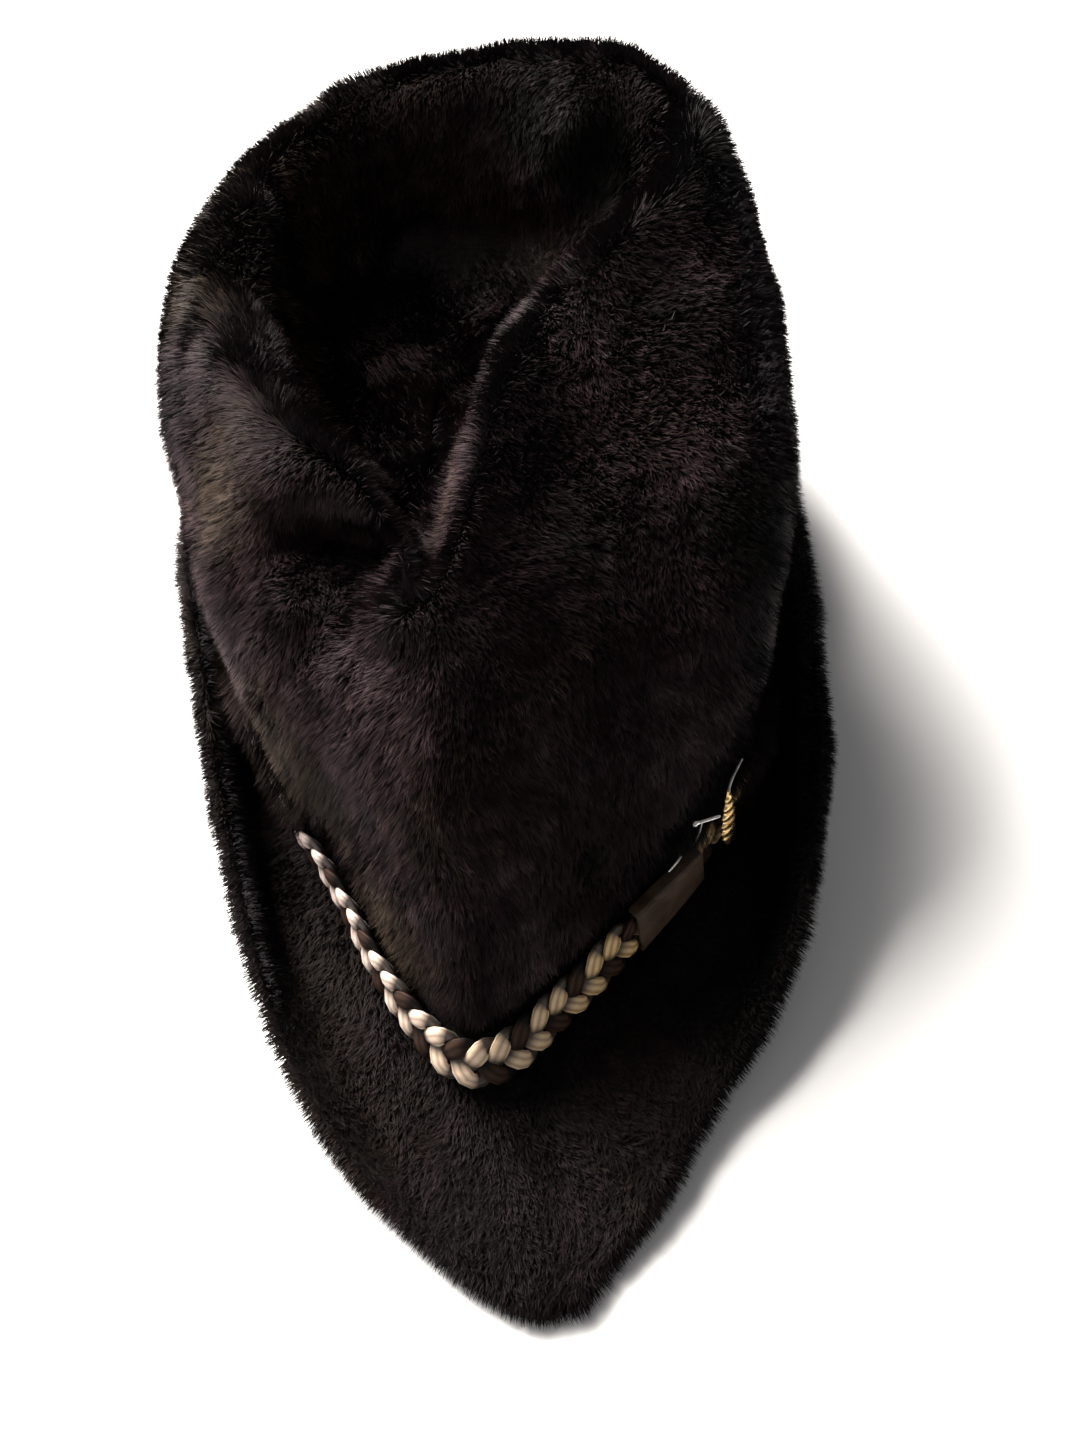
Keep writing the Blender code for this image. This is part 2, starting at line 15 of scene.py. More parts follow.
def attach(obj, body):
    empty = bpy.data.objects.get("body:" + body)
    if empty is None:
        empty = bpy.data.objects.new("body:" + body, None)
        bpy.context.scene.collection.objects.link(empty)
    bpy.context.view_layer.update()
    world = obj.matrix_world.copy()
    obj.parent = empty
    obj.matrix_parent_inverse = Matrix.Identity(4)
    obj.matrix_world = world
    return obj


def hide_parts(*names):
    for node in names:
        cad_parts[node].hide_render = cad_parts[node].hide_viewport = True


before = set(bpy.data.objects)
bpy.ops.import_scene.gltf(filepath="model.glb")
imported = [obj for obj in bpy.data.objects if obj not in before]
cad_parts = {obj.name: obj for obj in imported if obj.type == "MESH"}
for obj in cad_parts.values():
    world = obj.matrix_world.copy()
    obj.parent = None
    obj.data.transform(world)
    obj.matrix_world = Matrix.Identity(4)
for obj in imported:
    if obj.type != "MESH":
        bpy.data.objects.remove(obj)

LOG = logging.getLogger("fur_fedora")
MILLIMETRE = 0.001
TURN = 2 * math.pi
BAKE_MAP = "OFBake"
BENDS = "bends"
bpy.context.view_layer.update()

Colour = tuple[float, float, float]
Rows = np.ndarray
Socket = bpy.types.NodeSocket
Material = bpy.types.Material
Mesh = bpy.types.Mesh
Piece = bpy.types.Object
Shape = bmesh.types.BMesh


class Face(Enum):
    """The kinds of face that a sheet of fur cloth has, by their place among its materials."""

    PILED = 0
    LINING = 1


class Nodes:
    """A material's node tree, with short ways to add nodes and link them."""

    def __init__(self, name: str) -> None:
        """Makes a new material.

        Args:
            name: The material's name.
        """
        self.material = bpy.data.materials.new(name)
        self.material.use_nodes = True
        self.tree = self.material.node_tree
        self.shader = self.tree.nodes["Principled BSDF"]

    def add(self, kind: str, **settings: object) -> bpy.types.Node:
        """Adds a node.

        Args:
            kind: Blender's name of the node's type.
            settings: Values of the node's own properties.

        Returns:
            The new node.
        """
        node = self.tree.nodes.new(kind)
        for key, value in settings.items():
            setattr(node, key, value)
        return node

    def link(self, source: Socket, target: Socket) -> None:
        """Links one socket to another."""
        self.tree.links.new(source, target)

    def place(self) -> Socket:
        """Object coordinates, in metres."""
        return self.add("ShaderNodeTexCoord").outputs["Object"]

    def strand_map(self) -> bpy.types.Node:
        """The piece's own map, split in its two directions."""
        own_map = self.add("ShaderNodeUVMap", uv_map=BAKE_MAP)
        split = self.add("ShaderNodeSeparateXYZ")
        self.link(own_map.outputs["UV"], split.inputs["Vector"])
        return split

    def noise(self, scale: float, detail: float = 3.0, roughness: float = 0.55) -> Socket:
        """Noise in Object coordinates.

        Args:
            scale: Waves in a metre.
            detail: How many finer layers it has.
            roughness: How strong the finer layers are.

        Returns:
            The noise's value.
        """
        node = self.add("ShaderNodeTexNoise")
        self.link(self.place(), node.inputs["Vector"])
        node.inputs["Scale"].default_value = scale
        node.inputs["Detail"].default_value = detail
        node.inputs["Roughness"].default_value = roughness
        return node.outputs["Fac"]

    def ramp(self, value: Socket, stops: list[tuple[float, Colour]]) -> Socket:
        """A colour that follows a value.

        Args:
            value: What the colour follows.
            stops: Places between 0 and 1, with the colour at each.

        Returns:
            The colour.
        """
        node = self.add("ShaderNodeValToRGB")
        self.link(value, node.inputs["Fac"])
        elements = node.color_ramp.elements
        for element, (at, colour) in zip(elements, (stops[0], stops[-1])):
            element.position = at
            element.color = (*colour, 1.0)
        for at, colour in stops[1:-1]:
            elements.new(at).color = (*colour, 1.0)
        return node.outputs["Color"]

    def spread(
        self, value: Socket, low: float, high: float, start: float = 0.0, end: float = 1.0
    ) -> Socket:
        """Stretches a value from start..end to low..high, clamped."""
        node = self.add("ShaderNodeMapRange")
        self.link(value, node.inputs["Value"])
        for socket, number in (("From Min", start), ("From Max", end), ("To Min", low), ("To Max", high)):
            node.inputs[socket].default_value = number
        return node.outputs["Result"]

    def times(self, colour: Socket, factor: Socket) -> Socket:
        """A colour made lighter or darker by a factor."""
        node = self.add("ShaderNodeVectorMath", operation="SCALE")
        self.link(colour, node.inputs[0])
        self.link(factor, node.inputs["Scale"])
        return node.outputs["Vector"]

    def maths(self, operation: str, first: object, second: object) -> Socket:
        """A sum, product or other work on two values, each a socket or a number."""
        node = self.add("ShaderNodeMath", operation=operation)
        for socket, value in zip(node.inputs, (first, second)):
            if isinstance(value, Socket):
                self.link(value, socket)
            else:
                socket.default_value = value
        return node.outputs["Value"]

    def bump(self, height: Socket, strength: float, distance: float) -> None:
        """Gives the shader a bump of a height in metres."""
        node = self.add("ShaderNodeBump")
        node.inputs["Strength"].default_value = strength
        node.inputs["Distance"].default_value = distance
        self.link(height, node.inputs["Height"])
        self.link(node.outputs["Normal"], self.shader.inputs["Normal"])

    def paint(self, colour: Socket) -> None:
        """Gives the shader its base colour."""
        self.link(colour, self.shader.inputs["Base Color"])

    def dull(self, roughness: Socket) -> None:
        """Gives the shader its roughness."""
        self.link(roughness, self.shader.inputs["Roughness"])

    def settings(self, **values: object) -> None:
        """Sets constants on the shader, by their names with _ for a space."""
        for key, value in values.items():
            self.shader.inputs[key.replace("_", " ")].default_value = value


@dataclass(frozen=True)
class PileFinish:
    """Fur: every strand goes from painted shade at its root to painted light at its tip, in its own tone."""

    name: str
    families: tuple[tuple[Colour, ...], ...]
    root_painted_shade: float
    tip_painted_light: float
    roughness: float
    sheen: float
    sheen_tint: Colour
    shine: float
    shine_tint: Colour

    def make(self) -> Material:
        """Makes the material, which reads the strand's tone and the way along it from the map."""
        nodes = Nodes(self.name)
        split = nodes.strand_map()
        stops = [
            ((family + 0.02 + 0.96 * index / (len(tones) - 1)) / len(self.families), tone)
            for family, tones in enumerate(self.families)
            for index, tone in enumerate(tones)
        ]
        tone = nodes.ramp(split.outputs["X"], stops)
        # Painted shade deep in the pile and painted light on the tips: each strand's colour is scaled from
        # its root to its tip.
        shade = nodes.spread(split.outputs["Y"], self.root_painted_shade, self.tip_painted_light)
        nodes.paint(nodes.times(tone, shade))
        nodes.settings(
            Roughness=self.roughness,
            Specular_IOR_Level=self.shine,
            Specular_Tint=(*self.shine_tint, 1.0),
            Sheen_Weight=self.sheen,
            Sheen_Roughness=0.4,
            Sheen_Tint=(*self.sheen_tint, 1.0),
        )
        return nodes.material


@dataclass(frozen=True)
class BackingFinish:
    """The dark ground of the fur, seen only between the strands."""

    name: str
    dark: Colour
    light: Colour

    def make(self) -> Material:
        """Makes the material: a mottled ground with a short nap."""
        nodes = Nodes(self.name)
        nodes.paint(nodes.ramp(nodes.noise(260.0), [(0.3, self.dark), (0.7, self.light)]))
        nodes.bump(nodes.noise(1400.0), 0.6, 0.0006)
        nodes.settings(Roughness=0.95, Specular_IOR_Level=0.2)
        return nodes.material


@dataclass(frozen=True)
class LiningFinish:
    """The plain back of the fur cloth inside the hat: a fine dark weave."""

    name: str
    dark: Colour
    light: Colour
    thread: float

    def make(self) -> Material:
        """Makes the material from two sets of waves that cross, with a little fading."""
        nodes = Nodes(self.name)
        waves = []
        for direction in ("X", "Z"):
            wave = nodes.add("ShaderNodeTexWave", wave_type="BANDS", bands_direction=direction)
            nodes.link(nodes.place(), wave.inputs["Vector"])
            wave.inputs["Scale"].default_value = 0.314 / self.thread
            wave.inputs["Distortion"].default_value = 0.6
            wave.inputs["Detail"].default_value = 1.0
            waves.append(wave.outputs["Fac"])
        weave = nodes.maths("MULTIPLY", *waves)
        patches = nodes.noise(35.0)
        both = nodes.maths("ADD", nodes.maths("MULTIPLY", weave, 0.5), nodes.maths("MULTIPLY", patches, 0.5))
        nodes.paint(nodes.ramp(both, [(0.15, self.dark), (0.75, self.light)]))
        nodes.bump(weave, 0.5, 0.0002)
        nodes.settings(Roughness=0.85, Specular_IOR_Level=0.25, Sheen_Weight=0.2, Sheen_Roughness=0.5)
        return nodes.material


@dataclass(frozen=True)
class ThreadFinish:
    """Braid yarn: fine threads side by side, with painted highlights on their crowns and painted shade
    between them, painted light that makes it pale to one side, and painted shade where it dives under.
    """

    name: str
    # shadow, body and light colour each thread from groove to crown: painted shade in the grooves and painted
    # highlights on the crowns.
    shadow: Colour
    body: Colour
    light: Colour
    # pale is painted light: the washed-out colour the yarn takes on the side where the key lamp falls.
    pale: Colour
    threads: float
    roughness: float
    shine: float
    sheen: float
    slant: float = 0.35
    # The span in X over which that painted light fades out.
    painted_light_from: float = -0.045
    painted_light_to: float = 0.035

    def make(self, pitches: int, phase: float) -> Material:
        """Makes the material on the yarn's own map: X goes round the yarn and Y along it.

        Args:
            pitches: How many times the braid repeats along the yarn.
            phase: The yarn's place in the braid, from 0 to 1.

        Returns:
            The material, with painted shade where the yarn dives under the others.
        """
        nodes = Nodes(self.name)
        split = nodes.strand_map()
        lean = nodes.maths("MULTIPLY", split.outputs["Y"], self.slant)
        slant = nodes.maths("ADD", split.outputs["X"], lean)
        angle = nodes.maths("MULTIPLY", slant, TURN * self.threads)
        # crown shapes the thread bump, and it also sets the painted highlight on each thread's crown and the
        # painted shade in its grooves.
        crown = nodes.maths("ABSOLUTE", nodes.maths("SINE", nodes.maths("MULTIPLY", angle, 0.5), 0.0), 0.0)
        mottle = nodes.noise(900.0)
        value = nodes.maths(
            "ADD", nodes.maths("MULTIPLY", crown, 0.75), nodes.maths("MULTIPLY", mottle, 0.25)
        )
        warm = nodes.ramp(value, [(0.12, self.shadow), (0.55, self.body), (0.95, self.light)])
        # Painted light: the yarn turns pale towards -X, the side where the key lamp falls.
        place = nodes.add("ShaderNodeSeparateXYZ")
        nodes.link(nodes.place(), place.inputs["Vector"])
        painted_light_share = nodes.spread(place.outputs["X"], 1.0, 0.0, self.painted_light_from, self.painted_light_to)
        mixed = nodes.add("ShaderNodeMix", data_type="RGBA", blend_type="MIX")
        nodes.link(painted_light_share, mixed.inputs[0])
        nodes.link(warm, mixed.inputs[6])
        pale = nodes.ramp(value, [(0.0, self.pale), (1.0, self.pale)])
        nodes.link(nodes.times(pale, nodes.spread(value, 0.55, 1.0)), mixed.inputs[7])
        # Painted shade: the yarn darkens where it dives under the others.
        turn = nodes.maths("MULTIPLY", nodes.maths("ADD", split.outputs["Y"], phase / pitches),
                           2 * TURN * pitches)
        painted_dive_shade = nodes.spread(nodes.maths("SINE", turn, 0.0), 0.06, 1.0, 0.1, 0.85)
        nodes.paint(nodes.times(mixed.outputs[2], painted_dive_shade))
        nodes.bump(crown, 0.35, 0.0002)
        nodes.dull(nodes.spread(mottle, self.roughness - 0.08, self.roughness + 0.12))
        nodes.settings(Specular_IOR_Level=self.shine, Sheen_Weight=self.sheen, Sheen_Roughness=0.3)
        return nodes.material


@dataclass(frozen=True)
class LeatherFinish:
    """Smooth dark leather with a fine grain, creases and rubbed patches."""

    name: str
    dark: Colour
    light: Colour
    grain: float

    def make(self) -> Material:
        """Makes the material."""
        nodes = Nodes(self.name)
        cells = nodes.add("ShaderNodeTexVoronoi", feature="DISTANCE_TO_EDGE")
        nodes.link(nodes.place(), cells.inputs["Vector"])
        cells.inputs["Scale"].default_value = 1.0 / self.grain
        rubbed = nodes.noise(160.0)
        nodes.paint(nodes.ramp(rubbed, [(0.35, self.dark), (0.72, self.light)]))
        height = nodes.maths("ADD", nodes.spread(cells.outputs["Distance"], 0.0, 1.0, 0.0, 0.25),
                             nodes.maths("MULTIPLY", nodes.noise(420.0), 0.8))
        nodes.bump(height, 0.35, 0.00012)
        nodes.dull(nodes.spread(rubbed, 0.40, 0.58))
        nodes.settings(Specular_IOR_Level=0.15)
        return nodes.material


@dataclass(frozen=True)
class MetalFinish:
    """Polished metal with darker, duller tarnish in patches."""

    name: str
    bright: Colour
    dull: Colour
    roughness: float

    def make(self) -> Material:
        """Makes the material."""
        nodes = Nodes(self.name)
        patches = nodes.noise(700.0, detail=5.0)
        nodes.paint(nodes.ramp(patches, [(0.32, self.dull), (0.62, self.bright)]))
        nodes.dull(nodes.spread(patches, self.roughness + 0.2, self.roughness, 0.3, 0.65))
        nodes.bump(nodes.noise(2600.0), 0.12, 0.00005)
        nodes.settings(Metallic=1.0)
        return nodes.material


DARK_PILE = PileFinish(
    name="fur_pile",
    families=(
        ((0.0028, 0.0019, 0.0012), (0.0080, 0.0051, 0.0032), (0.018, 0.0118, 0.0074), (0.040, 0.0275, 0.0188),
         (0.105, 0.080, 0.062)),
        ((0.0026, 0.0016, 0.0020), (0.0077, 0.0043, 0.0054), (0.018, 0.0098, 0.0122), (0.040, 0.0235, 0.0280),
         (0.105, 0.072, 0.077)),
        ((0.0013, 0.0014, 0.0012), (0.0038, 0.0040, 0.0034), (0.0085, 0.0089, 0.0078), (0.021, 0.021, 0.019),
         (0.066, 0.064, 0.060)),
    ),
    # Painted shade at the roots and painted light at the tips.
    root_painted_shade=0.16,
    tip_painted_light=1.35,
    roughness=0.62,
    sheen=0.035,
    sheen_tint=(0.80, 0.74, 0.82),
    shine=0.09,
    shine_tint=(0.95, 0.80, 0.82),
)
FUR_GROUND = BackingFinish("fur_ground", (0.003, 0.0025, 0.002), (0.009, 0.0065, 0.006))
DARK_LINING = LiningFinish("lining_cloth", (0.010, 0.008, 0.007), (0.030, 0.024, 0.022), 0.0009)
# In each yarn's colours the fourth is painted light, for the yarn's lit side.
GOLD_YARN = ThreadFinish(
    "gold_yarn", (0.22, 0.12, 0.040), (0.42, 0.27, 0.10), (0.62, 0.45, 0.22), (0.72, 0.58, 0.53), 7.0, 0.42,
    0.4, 0.1
)
BROWN_YARN = ThreadFinish(
    "brown_yarn", (0.006, 0.003, 0.002), (0.022, 0.010, 0.005), (0.045, 0.022, 0.012), (0.030, 0.016, 0.012),
    7.0, 0.60, 0.1, 0.0
)
KEEPER_LEATHER = LeatherFinish("keeper_leather", (0.030, 0.018, 0.011), (0.074, 0.049, 0.033), 0.0011)
GILT = MetalFinish("gilt_metal", (0.80, 0.58, 0.27), (0.30, 0.17, 0.07), 0.20)
SILVER = MetalFinish("silver_metal", (0.80, 0.79, 0.76), (0.26, 0.25, 0.24), 0.16)
DULL_SILVER = MetalFinish("dull_silver", (0.34, 0.33, 0.32), (0.12, 0.115, 0.11), 0.30)


def waves(points: Rows, length: float, seed: int, layers: int = 7) -> Rows:
    """Smooth irregular values at points in space.

    Args:
        points: The points, one a row.
        length: The usual distance from one high place to the next, in metres.
        seed: Which pattern it is.
        layers: How many waves are added up.

    Returns:
        A value for each point, mostly between -1 and 1.
    """
    rng = np.random.default_rng(seed)
    total = np.zeros(len(points))
    for _ in range(layers):
        way = rng.normal(size=3)
        way *= TURN / (length * rng.uniform(0.7, 1.4)) / np.linalg.norm(way)
        total += np.sin(points @ way + rng.uniform(0.0, TURN))
    return total / math.sqrt(layers / 2) * 0.6


def unit_rows(vectors: Rows) -> Rows:
    """The vectors, each at length 1."""
    return vectors / np.maximum(np.linalg.norm(vectors, axis=1), 1e-12)[:, None]


def across(vectors: Rows, normals: Rows) -> Rows:
    """The part of each vector that lies in the plane of its normal, at length 1."""
    flat = vectors - np.einsum("ij,ij->i", vectors, normals)[:, None] * normals
    return unit_rows(flat)


def link_piece(name: str, mesh: Mesh, *finishes: Material) -> Piece:
    """Puts a mesh in the scene as a piece at the origin, with its materials."""
    mesh.name = name
    for finish in finishes:
        mesh.materials.append(finish)
    piece = bpy.data.objects.new(name, mesh)
    bpy.context.scene.collection.objects.link(piece)
    return piece


def report(piece: Piece) -> None:
    """Logs a finished piece and its triangles."""
    piece.data.calc_loop_triangles()
    LOG.info("%s: %d triangles", piece.name, len(piece.data.loop_triangles))


def evaluated_mesh(piece: Piece) -> Mesh:
    """A new mesh of the piece as its modifiers leave it."""
    graph = bpy.context.evaluated_depsgraph_get()
    return bpy.data.meshes.new_from_object(piece.evaluated_get(graph), depsgraph=graph)


def rows_of(items: bpy.types.bpy_prop_collection, value: str) -> Rows:
    """A value with three numbers from every item of a mesh, one a row."""
    numbers = np.empty(len(items) * 3)
    items.foreach_get(value, numbers)
    return numbers.reshape(-1, 3)


def node_points(node: str) -> Rows:
    """The corners of a CAD node."""
    return rows_of(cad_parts[node].data.vertices, "co")


def merged_copy(node: str) -> Shape:
    """A copy of a CAD node's mesh, its loose triangles merged and paired to quads."""
    copy = bmesh.new()
    copy.from_mesh(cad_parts[node].data)
    bmesh.ops.remove_doubles(copy, verts=copy.verts, dist=0.01 * MILLIMETRE)
    bmesh.ops.join_triangles(
        copy, faces=copy.faces, angle_face_threshold=math.radians(50), angle_shape_threshold=math.radians(70)
    )
    bmesh.ops.recalc_face_normals(copy, faces=copy.faces)
    copy.verts.ensure_lookup_table()
    copy.faces.ensure_lookup_table()
    return copy


def tree_of(*nodes: str) -> BVHTree:
    """A search tree over the faces of CAD nodes."""
    points, faces = [], []
    for node in nodes:
        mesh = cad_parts[node].data
        first = len(points)
        points += [vertex.co.copy() for vertex in mesh.vertices]
        faces += [tuple(first + corner for corner in face.vertices) for face in mesh.polygons]
    return BVHTree.FromPolygons(points, faces)


@dataclass(frozen=True)
class Fold:
    """A soft crease or swelling of the cloth along a line, as a hand would press it."""

    start: Colour
    end: Colour
    push: Colour
    reach: float

    def moves(self, points: Rows) -> Rows:
        """How far the fold moves each of some points.

        Args:
            points: The points, one a row.

        Returns:
            The moves, one a row.
        """
        start, line = np.array(self.start), np.array(self.end) - np.array(self.start)
        share = np.clip(((points - start) @ line) / (line @ line), 0.0, 1.0)
        apart = np.linalg.norm(points - start - share[:, None] * line, axis=1)
        return np.exp(-((apart / self.reach) ** 2))[:, None] * np.array(self.push)


CROWN_FOLDS = {
    "pocket": Fold((-0.013, -0.029, 0.111), (-0.034, -0.022, 0.110), (0.0025, 0.0085, -0.0050), 0.0080),
    "flap": Fold((-0.010, -0.040, 0.108), (-0.038, -0.031, 0.100), (-0.0012, -0.0062, 0.0052), 0.0060),
    "right_arm": Fold((0.053, 0.063, 0.136), (0.030, 0.031, 0.131), (-0.0028, 0.0012, 0.0014), 0.0090),
    "left_roll": Fold((-0.056, 0.072, 0.121), (-0.047, 0.036, 0.119), (0.0030, 0.0, 0.0035), 0.0105),
    "rim_back": Fold((-0.026, 0.113, 0.132), (0.010, 0.115, 0.137), (0.0, 0.0014, 0.0026), 0.0140),
    "rim_right": Fold((0.044, 0.106, 0.140), (0.062, 0.090, 0.138), (0.0008, 0.0016, 0.0034), 0.0120),
    "side_pinch": Fold((-0.073, 0.006, 0.099), (-0.067, -0.012, 0.107), (0.0045, 0.0010, 0.0), 0.0110),
    "second_ridge": Fold((0.031, 0.103, 0.130), (0.019, 0.099, 0.114), (-0.0034, -0.0030, 0.0014), 0.0075),
    "front_ridge": Fold((-0.005, -0.050, 0.109), (0.0, -0.098, 0.042), (0.0, -0.0016, 0.0010), 0.0110),
}


@dataclass
class FurSheet:
    """A sheet of fur cloth over one of the hat's solids: its ground, its lining and its pile."""

    node: str
    name: str
    ground_depth: float
    strands: int
    strand_length: float
    strand_width: float
    lift: float
    lumps: float
    tone: float
    seed: int
    lined: bool
    softening: int
    wall_ends_below: float = 60.0 * MILLIMETRE
    wall_end_angle: float = math.radians(62)
    bend_angle: float = math.radians(14)
    lining_out: float = 0.8 * MILLIMETRE
    folds: tuple[Fold, ...] = ()

    def ground(self) -> Piece:
        """Makes the cloth under the pile: set in where the pile stands on it, the lining set out."""
        copy = merged_copy(self.node)
        self.mark_lining(copy)
        self.mark_bends(copy)
        piled = [v for v in copy.verts if any(f.material_index == Face.PILED.value for f in v.link_faces)]
        moves = {v: v.normal * self.lining_out for v in copy.verts}
        moves.update((v, v.normal * -self.ground_depth) for v in piled)
        for vertex, move in moves.items():
            vertex.co += move
        mesh = bpy.data.meshes.new(self.name)
        copy.to_mesh(mesh)
        copy.free()
        mesh.shade_smooth()
        piece = link_piece(self.name, mesh)
        piece.vertex_groups.new(name=BENDS)
        rounding = piece.modifiers.new("rounding", "SUBSURF")
        rounding.levels = rounding.render_levels = 2
        softened = piece.modifiers.new("softened", "SMOOTH")
        softened.factor, softened.iterations = 0.5, self.softening
        softened.vertex_group = BENDS
        rounded = evaluated_mesh(piece)
        piece.modifiers.clear()
        piece.data = rounded
        rounded.name = self.name
        self.make_lumpy(rounded)
        rounded.materials.append(FUR_GROUND.make())
        rounded.materials.append(DARK_LINING.make())
        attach(piece, "root")
        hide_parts(self.node)
        report(piece)
        return piece

    def mark_lining(self, copy: Shape) -> None:
        """Gives the faces inside the hat the lining's place, by spreading from the highest face."""
        for face in copy.faces:
            face.material_index = Face.LINING.value if self.lined else Face.PILED.value
        if not self.lined:
            return
        wall_ends = {
            edge for edge in copy.edges
            if len(edge.link_faces) == 2 and edge.calc_face_angle() > self.wall_end_angle
            and max(vertex.co.z for vertex in edge.verts) < self.wall_ends_below
        }
        top = max(copy.faces, key=lambda face: face.calc_center_median().z)
        reached, edge_of_reach = {top}, [top]
        while edge_of_reach:
            face = edge_of_reach.pop()
            face.material_index = Face.PILED.value
            for edge in face.edges:
                if edge in wall_ends:
                    continue
                for other in edge.link_faces:
                    if other not in reached:
                        reached.add(other)
                        edge_of_reach.append(other)

    def mark_bends(self, copy: Shape) -> None:
        """Weights the corners along tight bends, so that only these are softened."""
        layer = copy.verts.layers.deform.verify()
        copy.verts.ensure_lookup_table()
        ring = {}
        for edge in copy.edges:
            if len(edge.link_faces) == 2 and edge.calc_face_angle() > self.bend_angle:
                piled = edge.link_faces[0].material_index == Face.PILED.value
                if edge.is_convex == piled:
                    ring.update((vertex, 1.0) for vertex in edge.verts)
        weights = dict(ring)
        for _ in range(2):
            ring = {
                edge.other_vert(vertex): 0.55 * weight
                for vertex, weight in ring.items() for edge in vertex.link_edges
                if edge.other_vert(vertex) not in weights
            }
            weights.update(ring)
        for vertex, weight in weights.items():
            vertex[layer][0] = weight

    def make_lumpy(self, mesh: Mesh) -> None:
        """Presses the folds into the cloth and lets it swell a little, as soft cloth lies."""
        points, normals = rows_of(mesh.vertices, "co"), rows_of(mesh.vertex_normals, "vector")
        swell = waves(points, 0.042, self.seed, 20) + 0.6 * waves(points, 0.016, self.seed + 1, 20)
        points = points + normals * (self.lumps * swell)[:, None]
        points += sum((fold.moves(points) for fold in self.folds), np.zeros_like(points))
        mesh.vertices.foreach_set("co", points.ravel())
        mesh.update()

    def roots(self, ground: Mesh) -> tuple[Rows, Rows, Rows]:
        """Scatters the strands' roots over the piled faces, closer where the cloth bends tightly.

        Args:
            ground: The cloth's mesh.

        Returns:
            The roots, the cloth's normals there, and how tightly it bends there from 0 to 1.
        """
        ground.calc_loop_triangles()
        count = len(ground.loop_triangles)
        corners, kinds = np.empty(count * 3, int), np.empty(count, int)
        ground.loop_triangles.foreach_get("vertices", corners)
        ground.loop_triangles.foreach_get("material_index", kinds)
        corners = corners.reshape(-1, 3)[kinds == Face.PILED.value]
        points, normals = rows_of(ground.vertices, "co"), rows_of(ground.vertex_normals, "vector")
        a, b, c = (points[corners[:, i]] for i in range(3))
        areas = np.linalg.norm(np.cross(b - a, c - a), axis=1) / 2
        bends = sum(
            np.linalg.norm(normals[corners[:, i]] - normals[corners[:, i - 1]], axis=1) for i in range(3)
        ) / 3
        curving = self.strand_length * bends / np.sqrt(areas)
        weights = areas * (1.0 + curving)
        self.area = float(areas.sum())
        LOG.info("%s: %.0f square centimetres of pile", self.name, areas.sum() * 1e4)
        rng = np.random.default_rng(self.seed)
        steps = (np.arange(self.strands) + rng.random(self.strands)) / self.strands
        chosen = np.searchsorted(np.cumsum(weights) / weights.sum(), steps).clip(max=len(areas) - 1)
        first, second = rng.random(self.strands), rng.random(self.strands)
        folded = first + second > 1.0
        first[folded], second[folded] = 1.0 - first[folded], 1.0 - second[folded]
        shares = np.stack((1.0 - first - second, first, second), axis=1)
        picked = corners[chosen]
        root = np.einsum("ij,ijk->ik", shares, points[picked])
        normal = unit_rows(np.einsum("ij,ijk->ik", shares, normals[picked]))
        return root, normal, np.clip(curving[chosen], 0.0, 1.0)


@dataclass
class Combing:
    """Which way the pile lies: down the hat, outward from the head, to the front and in swirls."""

    down: float
    outward: float
    forward: float
    swirl: float
    seed: int

    def directions(self, points: Rows, normals: Rows) -> Rows:
        """The pile's direction along the cloth at each root.

        Args:
            points: The roots.
            normals: The cloth's normals there.

        Returns:
            Directions in the cloth's plane.
        """
        flow = unit_rows(points * np.array((1.0, 0.6, 0.0))) * self.outward
        flow += np.array((0.0, -self.forward, -self.down))
        flow = across(flow, normals)
        turn = self.swirl * (waves(points, 0.045, self.seed) + 0.8 * waves(points, 0.012, self.seed + 1))
        sideways = np.cross(normals, flow)
        return flow * np.cos(turn)[:, None] + sideways * np.sin(turn)[:, None]


@dataclass(frozen=True)
class Overgrowth:
    """Stretches of the band that the pile grows over, one on each side of the hat."""

    left_start: float
    right_start: float
    end: float
    fade: float
    longer: float
    flatter: float

    def share(self, points: Rows) -> Rows:
        """How overgrown the band is at each point, from 0 to 1."""
        start = np.where(points[:, 0] < 0.0, self.left_start, self.right_start)
        opens = np.clip((points[:, 1] - start) / self.fade, 0.0, 1.0)
        closes = np.clip((self.end - points[:, 1]) / self.fade, 0.0, 1.0)
        return np.minimum(opens, closes)


